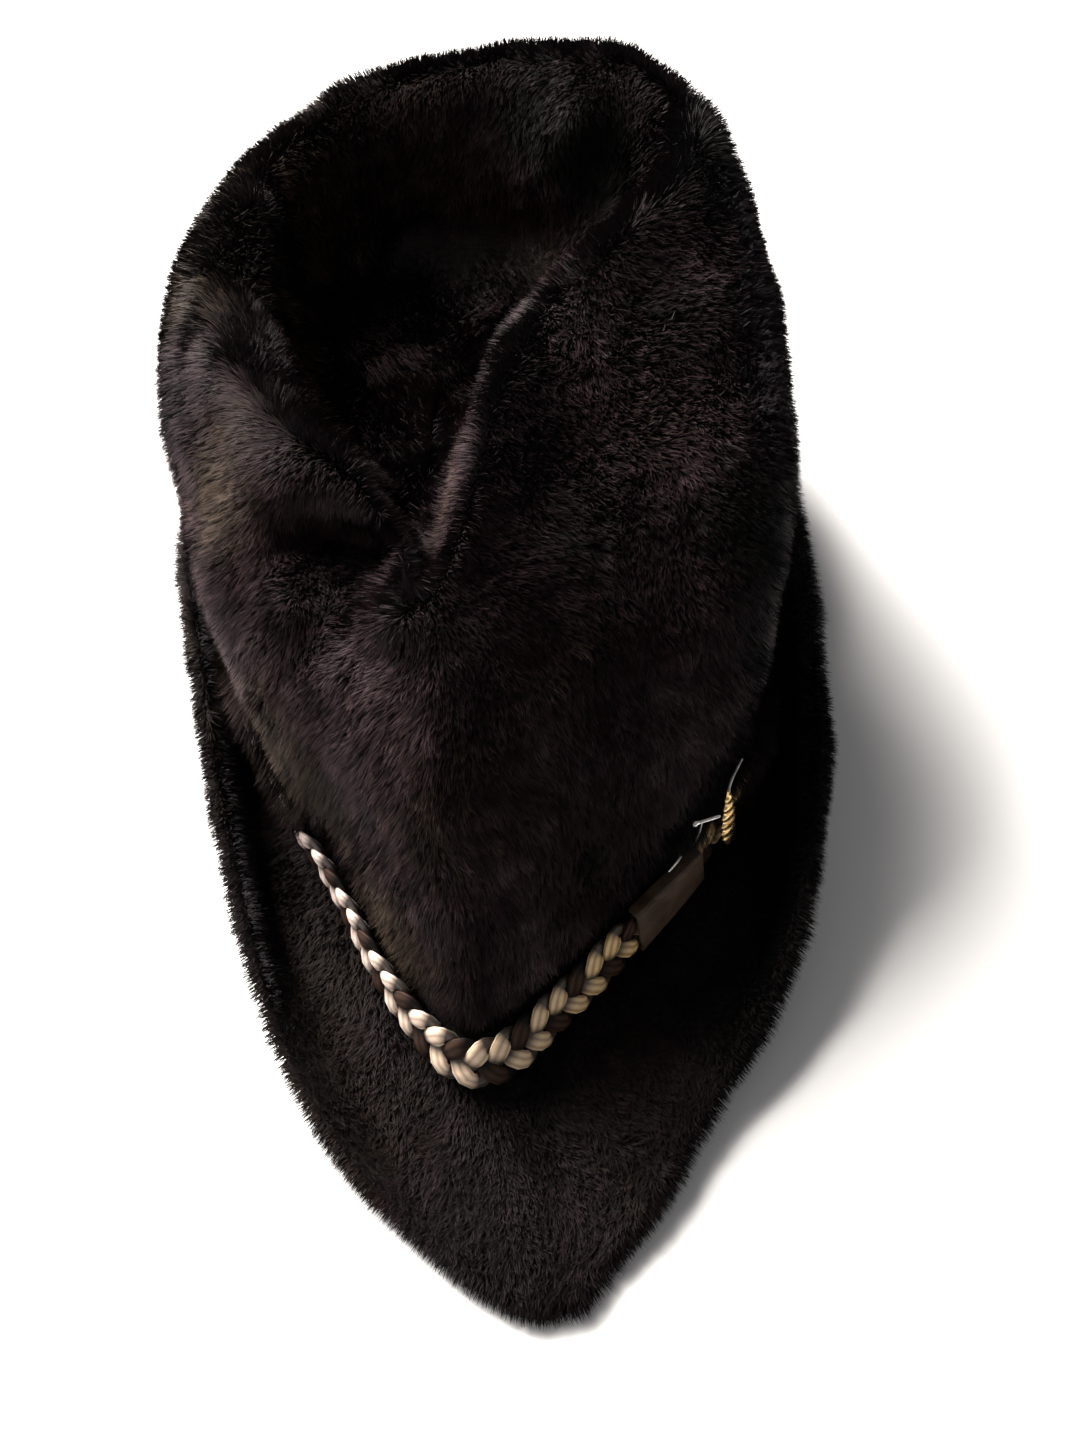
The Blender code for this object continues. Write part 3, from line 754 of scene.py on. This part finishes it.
@dataclass
class Pile:
    """The strands of one sheet, joined into a few meshes side by side."""

    sheet: FurSheet
    combing: Combing
    overgrowth: Overgrowth
    clump_spacing: float
    clumping: float
    length_spread: float
    floor_gap: float
    parts: int
    band: BVHTree
    trim: BVHTree
    band_gap: float
    trim_gap: float
    bend_lift: float = math.radians(68)
    straighter_on_bends: float = 0.85
    loose_turn: float = 0.45

    def build(self, ground: Mesh) -> list[Piece]:
        """Makes the pile's pieces on the sheet's ground."""
        roots, normals, bends = self.sheet.roots(ground)
        near = self.near(self.band, roots, self.band_gap + 2 * self.sheet.strand_length)
        cover = self.overgrowth.share(roots) * near
        tips, sides = self.strands(roots, normals, bends, cover)
        keep = self.clear_of_trim(roots, tips, near, cover)
        roots, tips, sides, normals = roots[keep], tips[keep], sides[keep], normals[keep]
        tones = self.tones(roots)
        finish = DARK_PILE.make()
        cuts = np.quantile(roots[:, 0], np.linspace(0.0, 1.0, self.parts + 1)[1:-1])
        part_of = np.searchsorted(cuts, roots[:, 0])
        pieces = []
        for part in range(self.parts):
            chosen = part_of == part
            name = f"{self.sheet.name}_pile_{part + 1}"
            rows = (values[chosen] for values in (roots, tips, sides, tones, normals))
            mesh = self.joined(name, *rows)
            piece = link_piece(name, mesh, finish)
            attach(piece, "root")
            report(piece)
            pieces.append(piece)
        return pieces

    def strands(
        self, roots: Rows, normals: Rows, bends: Rows, cover: Rows
    ) -> tuple[Rows, Rows]:
        """The tip of every strand, and half its width as a vector.

        Args:
            roots: Where the strands start.
            normals: The cloth's normals there.
            bends: How tightly the cloth bends there, from 0 to 1; the pile stands up on a bend.
            cover: How far each strand has to grow over the band, from 0 to 1.

        Returns:
            The tips and the half widths, one a row.
        """
        sheet = self.sheet
        rng = np.random.default_rng(sheet.seed + 50)
        count = len(roots)
        flow = self.combing.directions(roots, normals)
        loose = rng.normal(scale=self.loose_turn, size=count)
        flow = flow * np.cos(loose)[:, None] + np.cross(normals, flow) * np.sin(loose)[:, None]
        uneven = self.length_spread * (rng.random(count) * 2 - 1)
        uneven += 0.12 * waves(roots, 0.020, sheet.seed + 7)
        length = sheet.strand_length * (1.0 + uneven) * (1.0 + self.overgrowth.longer * cover)
        lift = sheet.lift + 0.18 * waves(roots, 0.020, sheet.seed + 9) + rng.normal(scale=0.18, size=count)
        lift *= 1.0 - self.overgrowth.flatter * cover
        lift += (self.bend_lift - lift) * bends * (1.0 - cover)
        tips = roots + (flow * np.cos(lift)[:, None] + normals * np.sin(lift)[:, None]) * length[:, None]
        tips = self.clumped(roots, tips, bends, rng)
        tips[:, 2] = np.maximum(tips[:, 2], self.floor_gap)
        side = unit_rows(np.cross(flow, normals)) * (sheet.strand_width / 2)
        roll = rng.normal(scale=self.loose_turn, size=count)
        side = side * np.cos(roll)[:, None] + normals * (np.sin(roll) * sheet.strand_width / 2)[:, None]
        return tips, side

    def clumped(
        self, roots: Rows, tips: Rows, bends: Rows, rng: np.random.Generator
    ) -> Rows:
        """Draws the tips of strands that grow together towards the tip of one of them, less on bends."""
        count = min(len(roots) // 4, int(self.sheet.area / self.clump_spacing**2))
        leaders = rng.choice(len(roots), size=count, replace=False)
        tree = kdtree.KDTree(count)
        for index, leader in enumerate(leaders):
            tree.insert(roots[leader], index)
        tree.balance()
        nearest = leaders[[tree.find(root)[1] for root in roots]]
        share = self.clumping * rng.random(len(roots)) * (1.0 - self.straighter_on_bends * bends)
        return tips + (tips[nearest] - tips) * share[:, None]

    def tones(self, roots: Rows) -> Rows:
        """Each strand's place among the finish's tones: its family of hue, then how light it is."""
        rng = np.random.default_rng(self.sheet.seed + 90)
        # The sheet's base tone carries painted shade on the brim, which is set darker than the crown.
        tone = self.sheet.tone + 0.15 * waves(roots, 0.045, self.sheet.seed + 20, 16)
        tone += 0.13 * waves(roots, 0.007, self.sheet.seed + 21, 16)
        tone += rng.normal(scale=0.11, size=len(roots))
        # Besides random patches, the hue drifts with X so that strands on the right take the darker grey
        # family: painted shade on the side away from the key lamp.
        hue = 0.85 + 0.75 * waves(roots, 0.050, self.sheet.seed + 22, 16) + 10.0 * roots[:, 0]
        hue += rng.normal(scale=0.30, size=len(roots))
        families = len(DARK_PILE.families)
        family = np.clip(np.rint(hue), 0, families - 1)
        return (family + 0.03 + 0.94 * np.clip(tone, 0.0, 1.0)) / families

    @staticmethod
    def near(tree: BVHTree, points: Rows, gap: float) -> Rows:
        """Which points lie nearer than a gap to the faces of a tree."""
        return np.array([tree.find_nearest(point, gap)[0] is not None for point in points])

    def clear_of_trim(
        self, roots: Rows, tips: Rows, near: Rows, cover: Rows
    ) -> Rows:
        """Which strands stay: those clear of the trim, and of the band where it shows.

        Args:
            roots: The strands' roots.
            tips: Their tips.
            near: Which of them stand near the band.
            cover: How overgrown the band is at each.

        Returns:
            True for each strand that stays.
        """
        rng = np.random.default_rng(self.sheet.seed + 70)
        keep = np.ones(len(roots), bool)
        close = np.flatnonzero(near)
        middles = (roots[close] + tips[close]) / 2
        for points in (roots[close], middles, tips[close]):
            keep[close[self.near(self.trim, points, self.trim_gap)]] = False
            blocked = self.near(self.band, points, self.band_gap)
            keep[close[blocked & (rng.random(len(close)) > cover[close])]] = False
        return keep

    @staticmethod
    def joined(
        name: str, roots: Rows, tips: Rows, sides: Rows, tones: Rows,
        normals: Rows,
    ) -> Mesh:
        """One mesh of many strands, each a single narrow blade.

        Args:
            name: The mesh's name.
            roots: Where the blades start.
            tips: Where they end.
            sides: Half their width at the root, as vectors.
            tones: How light each is.
            normals: The cloth's normals at the roots.

        Returns:
            The mesh, with its map: tone across and the way along the strand upward.
        """
        count = len(roots)
        mesh = bpy.data.meshes.new(name)
        mesh.vertices.add(count * 3)
        mesh.vertices.foreach_set("co", np.stack((roots - sides, roots + sides, tips), axis=1).ravel())
        mesh.loops.add(count * 3)
        mesh.loops.foreach_set("vertex_index", np.arange(count * 3))
        mesh.polygons.add(count)
        mesh.polygons.foreach_set("loop_start", np.arange(count) * 3)
        mesh.update(calc_edges=True)
        own_map = mesh.uv_layers.new(name=BAKE_MAP)
        across_map = tones[:, None] + np.array((-0.001, 0.001, 0.0))
        along_map = np.broadcast_to(np.array((0.01, 0.01, 0.99)), (count, 3))
        own_map.data.foreach_set("uv", np.stack((across_map, along_map), axis=2).ravel())
        mesh.shade_smooth()
        blade = unit_rows(np.cross(sides, tips - roots))
        blade *= np.sign(np.einsum("ij,ij->i", blade, normals))[:, None]
        mixed = unit_rows(0.4 * blade + 0.6 * normals)
        mesh.normals_split_custom_set_from_vertices(np.repeat(mixed, 3, axis=0).tolist())
        return mesh


@dataclass
class BandPath:
    """The middle line of the hat band, read round the crown from its solid."""

    samples: int
    blur: float

    def __post_init__(self) -> None:
        """Finds the line's points, directions, outward normals and length."""
        points = node_points("braided_band")
        middle = (points.min(axis=0) + points.max(axis=0)) / 2
        angles = np.arctan2(points[:, 1] - middle[1], points[:, 0] - middle[0])
        line = []
        for angle in np.linspace(-math.pi, math.pi, self.samples, endpoint=False):
            apart = (angles - angle + math.pi) % TURN - math.pi
            weight = np.exp(-((apart / self.blur) ** 2))
            line.append((points * weight[:, None]).sum(axis=0) / weight.sum())
        line = np.array(line)
        closed = np.vstack((line, line[:1]))
        self.ways = np.concatenate(([0.0], np.cumsum(np.linalg.norm(np.diff(closed, axis=0), axis=1))))
        self.line = closed
        self.length = float(self.ways[-1])
        crown = tree_of("crown")
        outward = []
        for point in closed:
            _, normal, _, _ = crown.find_nearest(Vector(point))
            outward.append(normal)
        outward = np.array(outward)
        for _ in range(6):
            ring = outward[:-1]
            ring = unit_rows(np.roll(ring, 1, axis=0) + 2 * ring + np.roll(ring, -1, axis=0))
            outward = np.vstack((ring, ring[:1]))
        self.outward = outward

    def read(self, rows: Rows, way: Rows) -> Rows:
        """Values kept along the line, read at distances along it."""
        return np.stack([np.interp(way % self.length, self.ways, rows[:, i]) for i in range(3)], axis=1)

    def at(self, way: Rows) -> tuple[Rows, Rows, Rows, Rows]:
        """Point, direction, upward and outward at distances along the line."""
        way = np.asarray(way) % self.length
        step = self.length / self.samples
        point, ahead, behind = (self.read(self.line, way + shift) for shift in (0.0, step, -step))
        along = unit_rows(ahead - behind)
        outward = across(self.read(self.outward, way), along)
        upward = unit_rows(np.cross(outward, along))
        upward *= np.sign(upward[:, 2])[:, None]
        return point, along, upward, outward

    def way_nearest(self, spot: Rows) -> float:
        """The distance along the line at the point nearest a spot."""
        return float(self.ways[np.linalg.norm(self.line - spot, axis=1).argmin()])


def swept_loop(
    centres: Rows, sides: Rows, ups: Rows, corners: int, closed: bool
) -> Shape:
    """Extrudes a circle along a row of frames into a tube with a map.

    Args:
        centres: The tube's middle line.
        sides: Half width vectors, one at each centre.
        ups: Half height vectors, one at each centre.
        corners: How many corners the tube has round it.
        closed: Whether the tube's end meets its start; else its ends are capped.

    Returns:
        The tube, with X of its map going round it and Y along it.
    """
    tube = bmesh.new()
    ring = bmesh.ops.create_circle(tube, cap_ends=not closed, segments=corners, radius=1.0)["verts"]
    angles = [TURN * corner / corners for corner in range(corners)]
    rings = []
    for index, (centre, side, up) in enumerate(zip(centres, sides, ups)):
        if index:
            edges = [tube.edges.get((ring[c], ring[(c + 1) % corners])) for c in range(corners)]
            grown = bmesh.ops.extrude_edge_only(tube, edges=edges)["geom"]
            fresh = {v for v in grown if isinstance(v, bmesh.types.BMVert)}
            ring = [next(e.other_vert(v) for e in v.link_edges if e.other_vert(v) in fresh) for v in ring]
        for vertex, angle in zip(ring, angles):
            vertex.co = Vector(centre + side * math.cos(angle) + up * math.sin(angle))
        rings.append(list(ring))
    if closed:
        first, last = rings[0], rings[-1]
        edges = [tube.edges.get((r[c], r[(c + 1) % corners])) for r in (first, last) for c in range(corners)]
        bmesh.ops.bridge_loops(tube, edges=edges)
    else:
        bmesh.ops.contextual_create(tube, geom=rings[-1])
    bmesh.ops.recalc_face_normals(tube, faces=tube.faces)
    own_map = tube.loops.layers.uv.new(BAKE_MAP)
    places = {v: (c / corners, r / len(rings)) for r, row in enumerate(rings) for c, v in enumerate(row)}
    for face in tube.faces:
        spots = [places[loop.vert] for loop in face.loops]
        wide = max(s[0] for s in spots) > 0.75 and min(s[0] for s in spots) < 0.25
        long = max(s[1] for s in spots) > 0.75 and min(s[1] for s in spots) < 0.25
        for loop, (x, y) in zip(face.loops, spots):
            loop[own_map].uv = (x + float(wide and x < 0.5), y + float(long and y < 0.5))
    return tube


def finished_piece(
    name: str, shape: Shape, slot: str, *finishes: Material
) -> Piece:
    """Makes a smooth piece of a shape, which rides on the hat."""
    mesh = bpy.data.meshes.new(name)
    shape.to_mesh(mesh)
    shape.free()
    mesh.shade_smooth()
    piece = link_piece(name, mesh, *finishes)
    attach(piece, "root")
    report(piece)
    return piece


@dataclass
class BraidedBand:
    """The flat braid of three yarns, two gold and one brown, squeezed where the keeper holds it."""

    path: BandPath
    width: float
    thickness: float
    pitch: float
    yarn_width: float
    yarn_thickness: float
    steps_a_pitch: int
    corners: int
    keeper_half: float
    keeper_squeeze: float
    overgrowth: Overgrowth
    sink: float
    plumpness: float = 0.16

    def build(self) -> list[Piece]:
        """Makes the three yarns, which together stand for the band's solid."""
        self.pitches = round(self.path.length / self.pitch)
        keeper = (node_points("keeper").min(axis=0) + node_points("keeper").max(axis=0)) / 2
        self.keeper_way = self.path.way_nearest(keeper)
        pieces = []
        for number, (name, finish) in enumerate(
            (("gold_yarn_low", GOLD_YARN), ("gold_yarn_high", GOLD_YARN), ("brown_yarn", BROWN_YARN))
        ):
            phase = number / 3
            piece = finished_piece(name, self.yarn(phase), "braid", finish.make(self.pitches, phase))
            pieces.append(piece)
        for piece in pieces:
            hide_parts("braided_band")
        return pieces

    def yarn(self, phase: float) -> Shape:
        """One yarn of the braid, which swings from edge to edge and over and under the others."""
        count = self.pitches * self.steps_a_pitch
        share = np.arange(count) / self.steps_a_pitch + phase
        way = np.arange(count) / count * self.path.length
        point, along, upward, outward = self.path.at(way)
        half = self.path.length / 2
        apart = np.abs((way - self.keeper_way + half) % self.path.length - half)
        fade = np.clip((apart - self.keeper_half) / (0.5 * self.keeper_half), 0.0, 1.0)
        squeeze = self.keeper_squeeze + (1.0 - self.keeper_squeeze) * fade
        turn = TURN * share
        swing = (self.width - self.yarn_width) / 2 * squeeze
        rise = (self.thickness - self.yarn_thickness) / 2 * squeeze
        sideways, lifted = swing * np.sin(turn), rise * np.sin(2 * turn)
        lifted = lifted - self.sink * self.overgrowth.share(point)
        centre = point + upward * sideways[:, None] + outward * lifted[:, None]
        slope = swing * np.cos(turn) * TURN / self.pitch
        climb = 2 * rise * np.cos(2 * turn) * TURN / self.pitch
        forward = unit_rows(along + upward * slope[:, None] + outward * climb[:, None])
        side = unit_rows(np.cross(outward, forward))
        up = np.cross(forward, side)
        plump = 1.0 + self.plumpness * np.sin(2 * turn)
        side = side * (self.yarn_width / 2 * squeeze * plump)[:, None]
        up = up * (self.yarn_thickness / 2 * squeeze)[:, None]
        return swept_loop(centre, side, up, self.corners, closed=True)


def principal_axes(points: Rows) -> tuple[Rows, Rows]:
    """The middle of some points, and their long, middle and short axes as rows."""
    middle = points.mean(axis=0)
    _, _, axes = np.linalg.svd(points - middle, full_matrices=False)
    low = ((points - middle) @ axes.T).min(axis=0)
    high = ((points - middle) @ axes.T).max(axis=0)
    return middle + ((low + high) / 2) @ axes, axes


@dataclass
class Keeper:
    """The leather tab round the band, with rounded edges."""

    edge_radius: float

    def build(self) -> Piece:
        """Makes the tab from its solid with softened edges."""
        copy = merged_copy("keeper")
        bmesh.ops.dissolve_limit(
            copy, angle_limit=math.radians(1.0), verts=copy.verts, edges=copy.edges, delimit={"NORMAL"}
        )
        sharp = [edge for edge in copy.edges if edge.calc_face_angle(0.0) > math.radians(25)]
        bmesh.ops.bevel(
            copy, geom=sharp, offset=self.edge_radius, offset_type="OFFSET", segments=3, profile=0.5,
            affect="EDGES", material=-1, clamp_overlap=True,
        )
        bmesh.ops.recalc_face_normals(copy, faces=copy.faces)
        piece = finished_piece("leather_keeper", copy, "leather", KEEPER_LEATHER.make())
        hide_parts("keeper")
        return piece


def thin_wire(points: list[Rows], radius: float, corners: int) -> Shape:
    """A round wire through a few points, bent smoothly.

    Args:
        points: The points that it passes, as a curve's control points.
        radius: Its radius.
        corners: How many corners it has round it.

    Returns:
        The wire's shape.
    """
    share = np.linspace(0.0, 1.0, 16)[:, None]
    start, bend, end = points
    centres = (1 - share) ** 2 * start + 2 * share * (1 - share) * bend + share**2 * end
    along = unit_rows(np.gradient(centres, axis=0))
    side = unit_rows(np.cross(along, np.array((0.31, 0.22, 0.92))))
    taper = radius * (1.0 - 0.35 * share)
    return swept_loop(centres, side * taper, np.cross(along, side) * taper, corners, closed=False)


@dataclass
class GiltLeaf:
    """The ribbed gilt leaf with its thin grey stem."""

    length: float
    width: float
    thickness: float
    ribs: int
    blunt: float
    stem_length: float
    stem_radius: float
    corners: int

    def build(self) -> list[Piece]:
        """Makes the leaf on its solid's axes, and the stem that leaves its upper end."""
        middle, axes = principal_axes(node_points("gilt_leaf"))
        axis = axes[0] * np.sign(axes[0][2])
        side, out = axes[1], axes[2]
        steps = self.ribs * 8
        share = np.arange(steps + 1) / steps
        rib = 0.90 + 0.10 * np.cos(TURN * self.ribs * share)
        swell = np.sin(math.pi * share**0.75)
        wide = self.width / 2 * (self.blunt + (1 - self.blunt) * swell) * rib
        thick = self.thickness / 2 * (0.35 + 0.65 * np.sqrt(swell)) * rib**2
        centres = middle + axis * (self.length * (share - 0.5))[:, None]
        leaf = swept_loop(centres, side * wide[:, None], out * thick[:, None], self.corners, closed=False)
        body = finished_piece("ribbed_leaf", leaf, "gilt", GILT.make())
        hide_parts("gilt_leaf")
        top = middle + axis * (self.length * 0.47)
        back = np.array((0.42, 0.86, 0.28)) * self.stem_length
        stem = thin_wire([top, top + axis * (0.35 * self.stem_length), top + back], self.stem_radius, 10)
        return [body, finished_piece("leaf_stem", stem, "silver", DULL_SILVER.make())]


@dataclass
class SilverPin:
    """The silver rod beside the leaf with a bright round tip, its fine wire and the keeper's clip."""

    radius: float
    tip: float
    wire_radius: float
    corners: int
    clip: tuple[Colour, Colour]

    def build(self) -> list[Piece]:
        """Makes the rod on its solid's axis, thickest near the tip at the crown, and its wires."""
        points = node_points("silver_pin")
        middle, axes = principal_axes(points)
        axis = axes[0] * np.sign(axes[0][0])
        length = float(np.ptp((points - middle) @ axis))
        side, up = axes[1], axes[2]
        share = np.arange(33) / 32
        bead = np.exp(-(((share - 0.10) / 0.10) ** 2))
        radius = self.radius * (0.62 + (self.tip - 0.62) * bead)
        radius *= np.sqrt(np.clip(1.0 - ((share - 0.5) * 2.0) ** 16, 0.02, 1.0))
        centres = middle + axis * (length * (share - 0.5))[:, None]
        rod = swept_loop(centres, side * radius[:, None], up * radius[:, None], self.corners, closed=False)
        piece = finished_piece("bright_pin", rod, "silver", SILVER.make())
        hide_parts("silver_pin")
        keeper = node_points("keeper")
        hang = centres[12]
        corner = keeper[np.linalg.norm(keeper - hang, axis=1).argmin()]
        lift = np.array((0.0003, -0.0004, 0.0006))
        drop = thin_wire([hang, (hang + corner) / 2 + 2 * lift, corner + lift], self.wire_radius, 8)
        start, end = (np.array(spot) for spot in self.clip)
        clip = thin_wire([start, (start + end) / 2 + lift, end], 1.6 * self.wire_radius, 8)
        return [
            piece,
            finished_piece("pin_wire", drop, "silver", DULL_SILVER.make()),
            finished_piece("keeper_clip", clip, "silver", SILVER.make()),
        ]


LAMP_SIZE = 0.90
LAMP_COLOUR = (1.0, 0.95, 0.89)
LAMP_AIM = (0.0, 0.0, 0.06)
LAMPS = (("key", 150.0, (-0.75, 0.80, 1.05)), ("side", 6.0, (-1.35, -0.05, 0.60)))
SKY_COLOUR = (1.0, 0.98, 0.97)
SKY_STRENGTH = 0.27


@dataclass
class Studio:
    """The pale floor, the soft lights and the camera at the photograph's angle."""

    azimuth: float
    elevation: float
    roll: float
    distance: float
    target: tuple[float, float, float]
    lens: float
    sensor: float
    floor_size: float
    floor_colour: Colour

    def build(self) -> None:
        """Makes floor, lights, sky and camera."""
        self.floor()
        self.lights()
        self.camera()

    def floor(self) -> None:
        """Makes the floor that the hat stands on."""
        shape = bmesh.new()
        bmesh.ops.create_grid(shape, x_segments=1, y_segments=1, size=self.floor_size / 2)
        mesh = bpy.data.meshes.new("floor")
        shape.to_mesh(mesh)
        shape.free()
        nodes = Nodes("floor_paper")
        shade = nodes.spread(nodes.noise(9.0), 0.97, 1.0)
        base = nodes.add("ShaderNodeRGB")
        base.outputs["Color"].default_value = (*self.floor_colour, 1.0)
        nodes.paint(nodes.times(base.outputs["Color"], shade))
        nodes.settings(Roughness=0.8, Specular_IOR_Level=0.2)
        floor = link_piece("floor", mesh, nodes.material)

    def lights(self) -> None:
        """Makes a key light from the left and behind, a weak one from the left side and a dim sky."""
        for name, energy, place in LAMPS:
            data = bpy.data.lights.new(name, "AREA")
            data.energy, data.size = energy, LAMP_SIZE
            data.color = LAMP_COLOUR
            lamp = bpy.data.objects.new(name, data)
            lamp.location = place
            lamp.rotation_euler = (Vector(LAMP_AIM) - Vector(place)).to_track_quat("-Z", "Y").to_euler()
            bpy.context.scene.collection.objects.link(lamp)
        world = bpy.data.worlds.new("soft_sky")
        world.use_nodes = True
        back = world.node_tree.nodes["Background"]
        back.inputs["Color"].default_value = (*SKY_COLOUR, 1.0)
        back.inputs["Strength"].default_value = SKY_STRENGTH
        bpy.context.scene.world = world
        bpy.context.scene.view_settings.view_transform = "Standard"

    def camera(self) -> None:
        """Makes the camera, as fitted to the photograph's outline."""
        turn, rise, roll = (math.radians(a) for a in (self.azimuth, self.elevation, self.roll))
        back = Vector((math.sin(turn) * math.cos(rise), -math.cos(turn) * math.cos(rise), math.sin(rise)))
        level = (-back).cross(Vector((0.0, 0.0, 1.0))).normalized()
        head = level.cross(-back)
        right = level * math.cos(roll) + head * math.sin(roll)
        up = head * math.cos(roll) - level * math.sin(roll)
        data = bpy.data.cameras.new("photo_camera")
        data.lens, data.sensor_width = self.lens, self.sensor
        data.clip_start, data.clip_end = 0.01, 20.0
        camera = bpy.data.objects.new("photo_camera", data)
        axes = Matrix((right, up, back)).transposed().to_4x4()
        place = Vector(self.target) + back * self.distance
        camera.matrix_world = Matrix.Translation(place) @ axes
        bpy.context.scene.collection.objects.link(camera)
        bpy.context.scene.camera = camera


def main() -> None:
    """Builds the hat's pieces in order, then the studio."""
    logging.basicConfig(level=logging.INFO, format="%(name)s %(message)s")
    band, trim = tree_of("braided_band"), tree_of("keeper", "gilt_leaf", "silver_pin")
    crown = FurSheet(
        node="crown", name="crown_fur", ground_depth=1.7 * MILLIMETRE, strands=400_000,
        strand_length=3.9 * MILLIMETRE, strand_width=0.40 * MILLIMETRE, lift=math.radians(54),
        lumps=0.55 * MILLIMETRE, tone=0.52, seed=11, lined=True, softening=60,
        folds=tuple(CROWN_FOLDS.values()),
    )
    # The brim's low tone is painted shade: the brim has the crown's fur, given darker tones.
    brim = FurSheet(
        node="brim", name="brim_fur", ground_depth=1.4 * MILLIMETRE, strands=300_000,
        strand_length=3.8 * MILLIMETRE, strand_width=0.40 * MILLIMETRE, lift=math.radians(50),
        lumps=0.40 * MILLIMETRE, tone=0.12, seed=31, lined=False, softening=6,
    )
    overgrowth = Overgrowth(
        left_start=-0.0545, right_start=-0.066, end=0.035, fade=0.006, longer=1.7, flatter=0.25,
    )
    for sheet, combing, growth, parts in (
        (crown, Combing(down=0.30, outward=0.25, forward=1.00, swirl=0.50, seed=41), overgrowth, 3),
        (brim, Combing(down=0.10, outward=0.70, forward=0.80, swirl=0.55, seed=61),
         replace(overgrowth, longer=0.25, flatter=0.0), 2),
    ):
        ground = sheet.ground()
        Pile(
            sheet=sheet, combing=combing, overgrowth=growth, clump_spacing=1.5 * MILLIMETRE,
            clumping=0.75, length_spread=0.22, floor_gap=0.25 * MILLIMETRE, parts=parts, band=band,
            trim=trim, band_gap=0.9 * MILLIMETRE, trim_gap=0.5 * MILLIMETRE,
        ).build(ground.data)
    path = BandPath(samples=240, blur=math.radians(1.6))
    BraidedBand(
        path=path, width=15.5 * MILLIMETRE, thickness=3.8 * MILLIMETRE, pitch=19.0 * MILLIMETRE,
        yarn_width=4.7 * MILLIMETRE, yarn_thickness=2.0 * MILLIMETRE, steps_a_pitch=14, corners=16,
        keeper_half=11.5 * MILLIMETRE, keeper_squeeze=0.66, overgrowth=overgrowth, sink=1.2 * MILLIMETRE,
    ).build()
    Keeper(edge_radius=0.35 * MILLIMETRE).build()
    GiltLeaf(
        length=20.0 * MILLIMETRE, width=6.2 * MILLIMETRE, thickness=2.2 * MILLIMETRE, ribs=7, blunt=0.18,
        stem_length=9.0 * MILLIMETRE, stem_radius=0.45 * MILLIMETRE, corners=24,
    ).build()
    SilverPin(
        radius=0.9 * MILLIMETRE, tip=1.1, wire_radius=0.28 * MILLIMETRE, corners=16,
        clip=((0.0494, -0.0679, 0.0396), (0.0461, -0.0716, 0.0384)),
    ).build()
    Studio(
        azimuth=4.892, elevation=58.0, roll=-5.669, distance=0.31139,
        target=(0.015212, -0.039564, 0.060),
        lens=31.25, sensor=36.0, floor_size=6.0, floor_colour=(0.70, 0.70, 0.71),
    ).build()


if __name__ == "__main__":
    main()
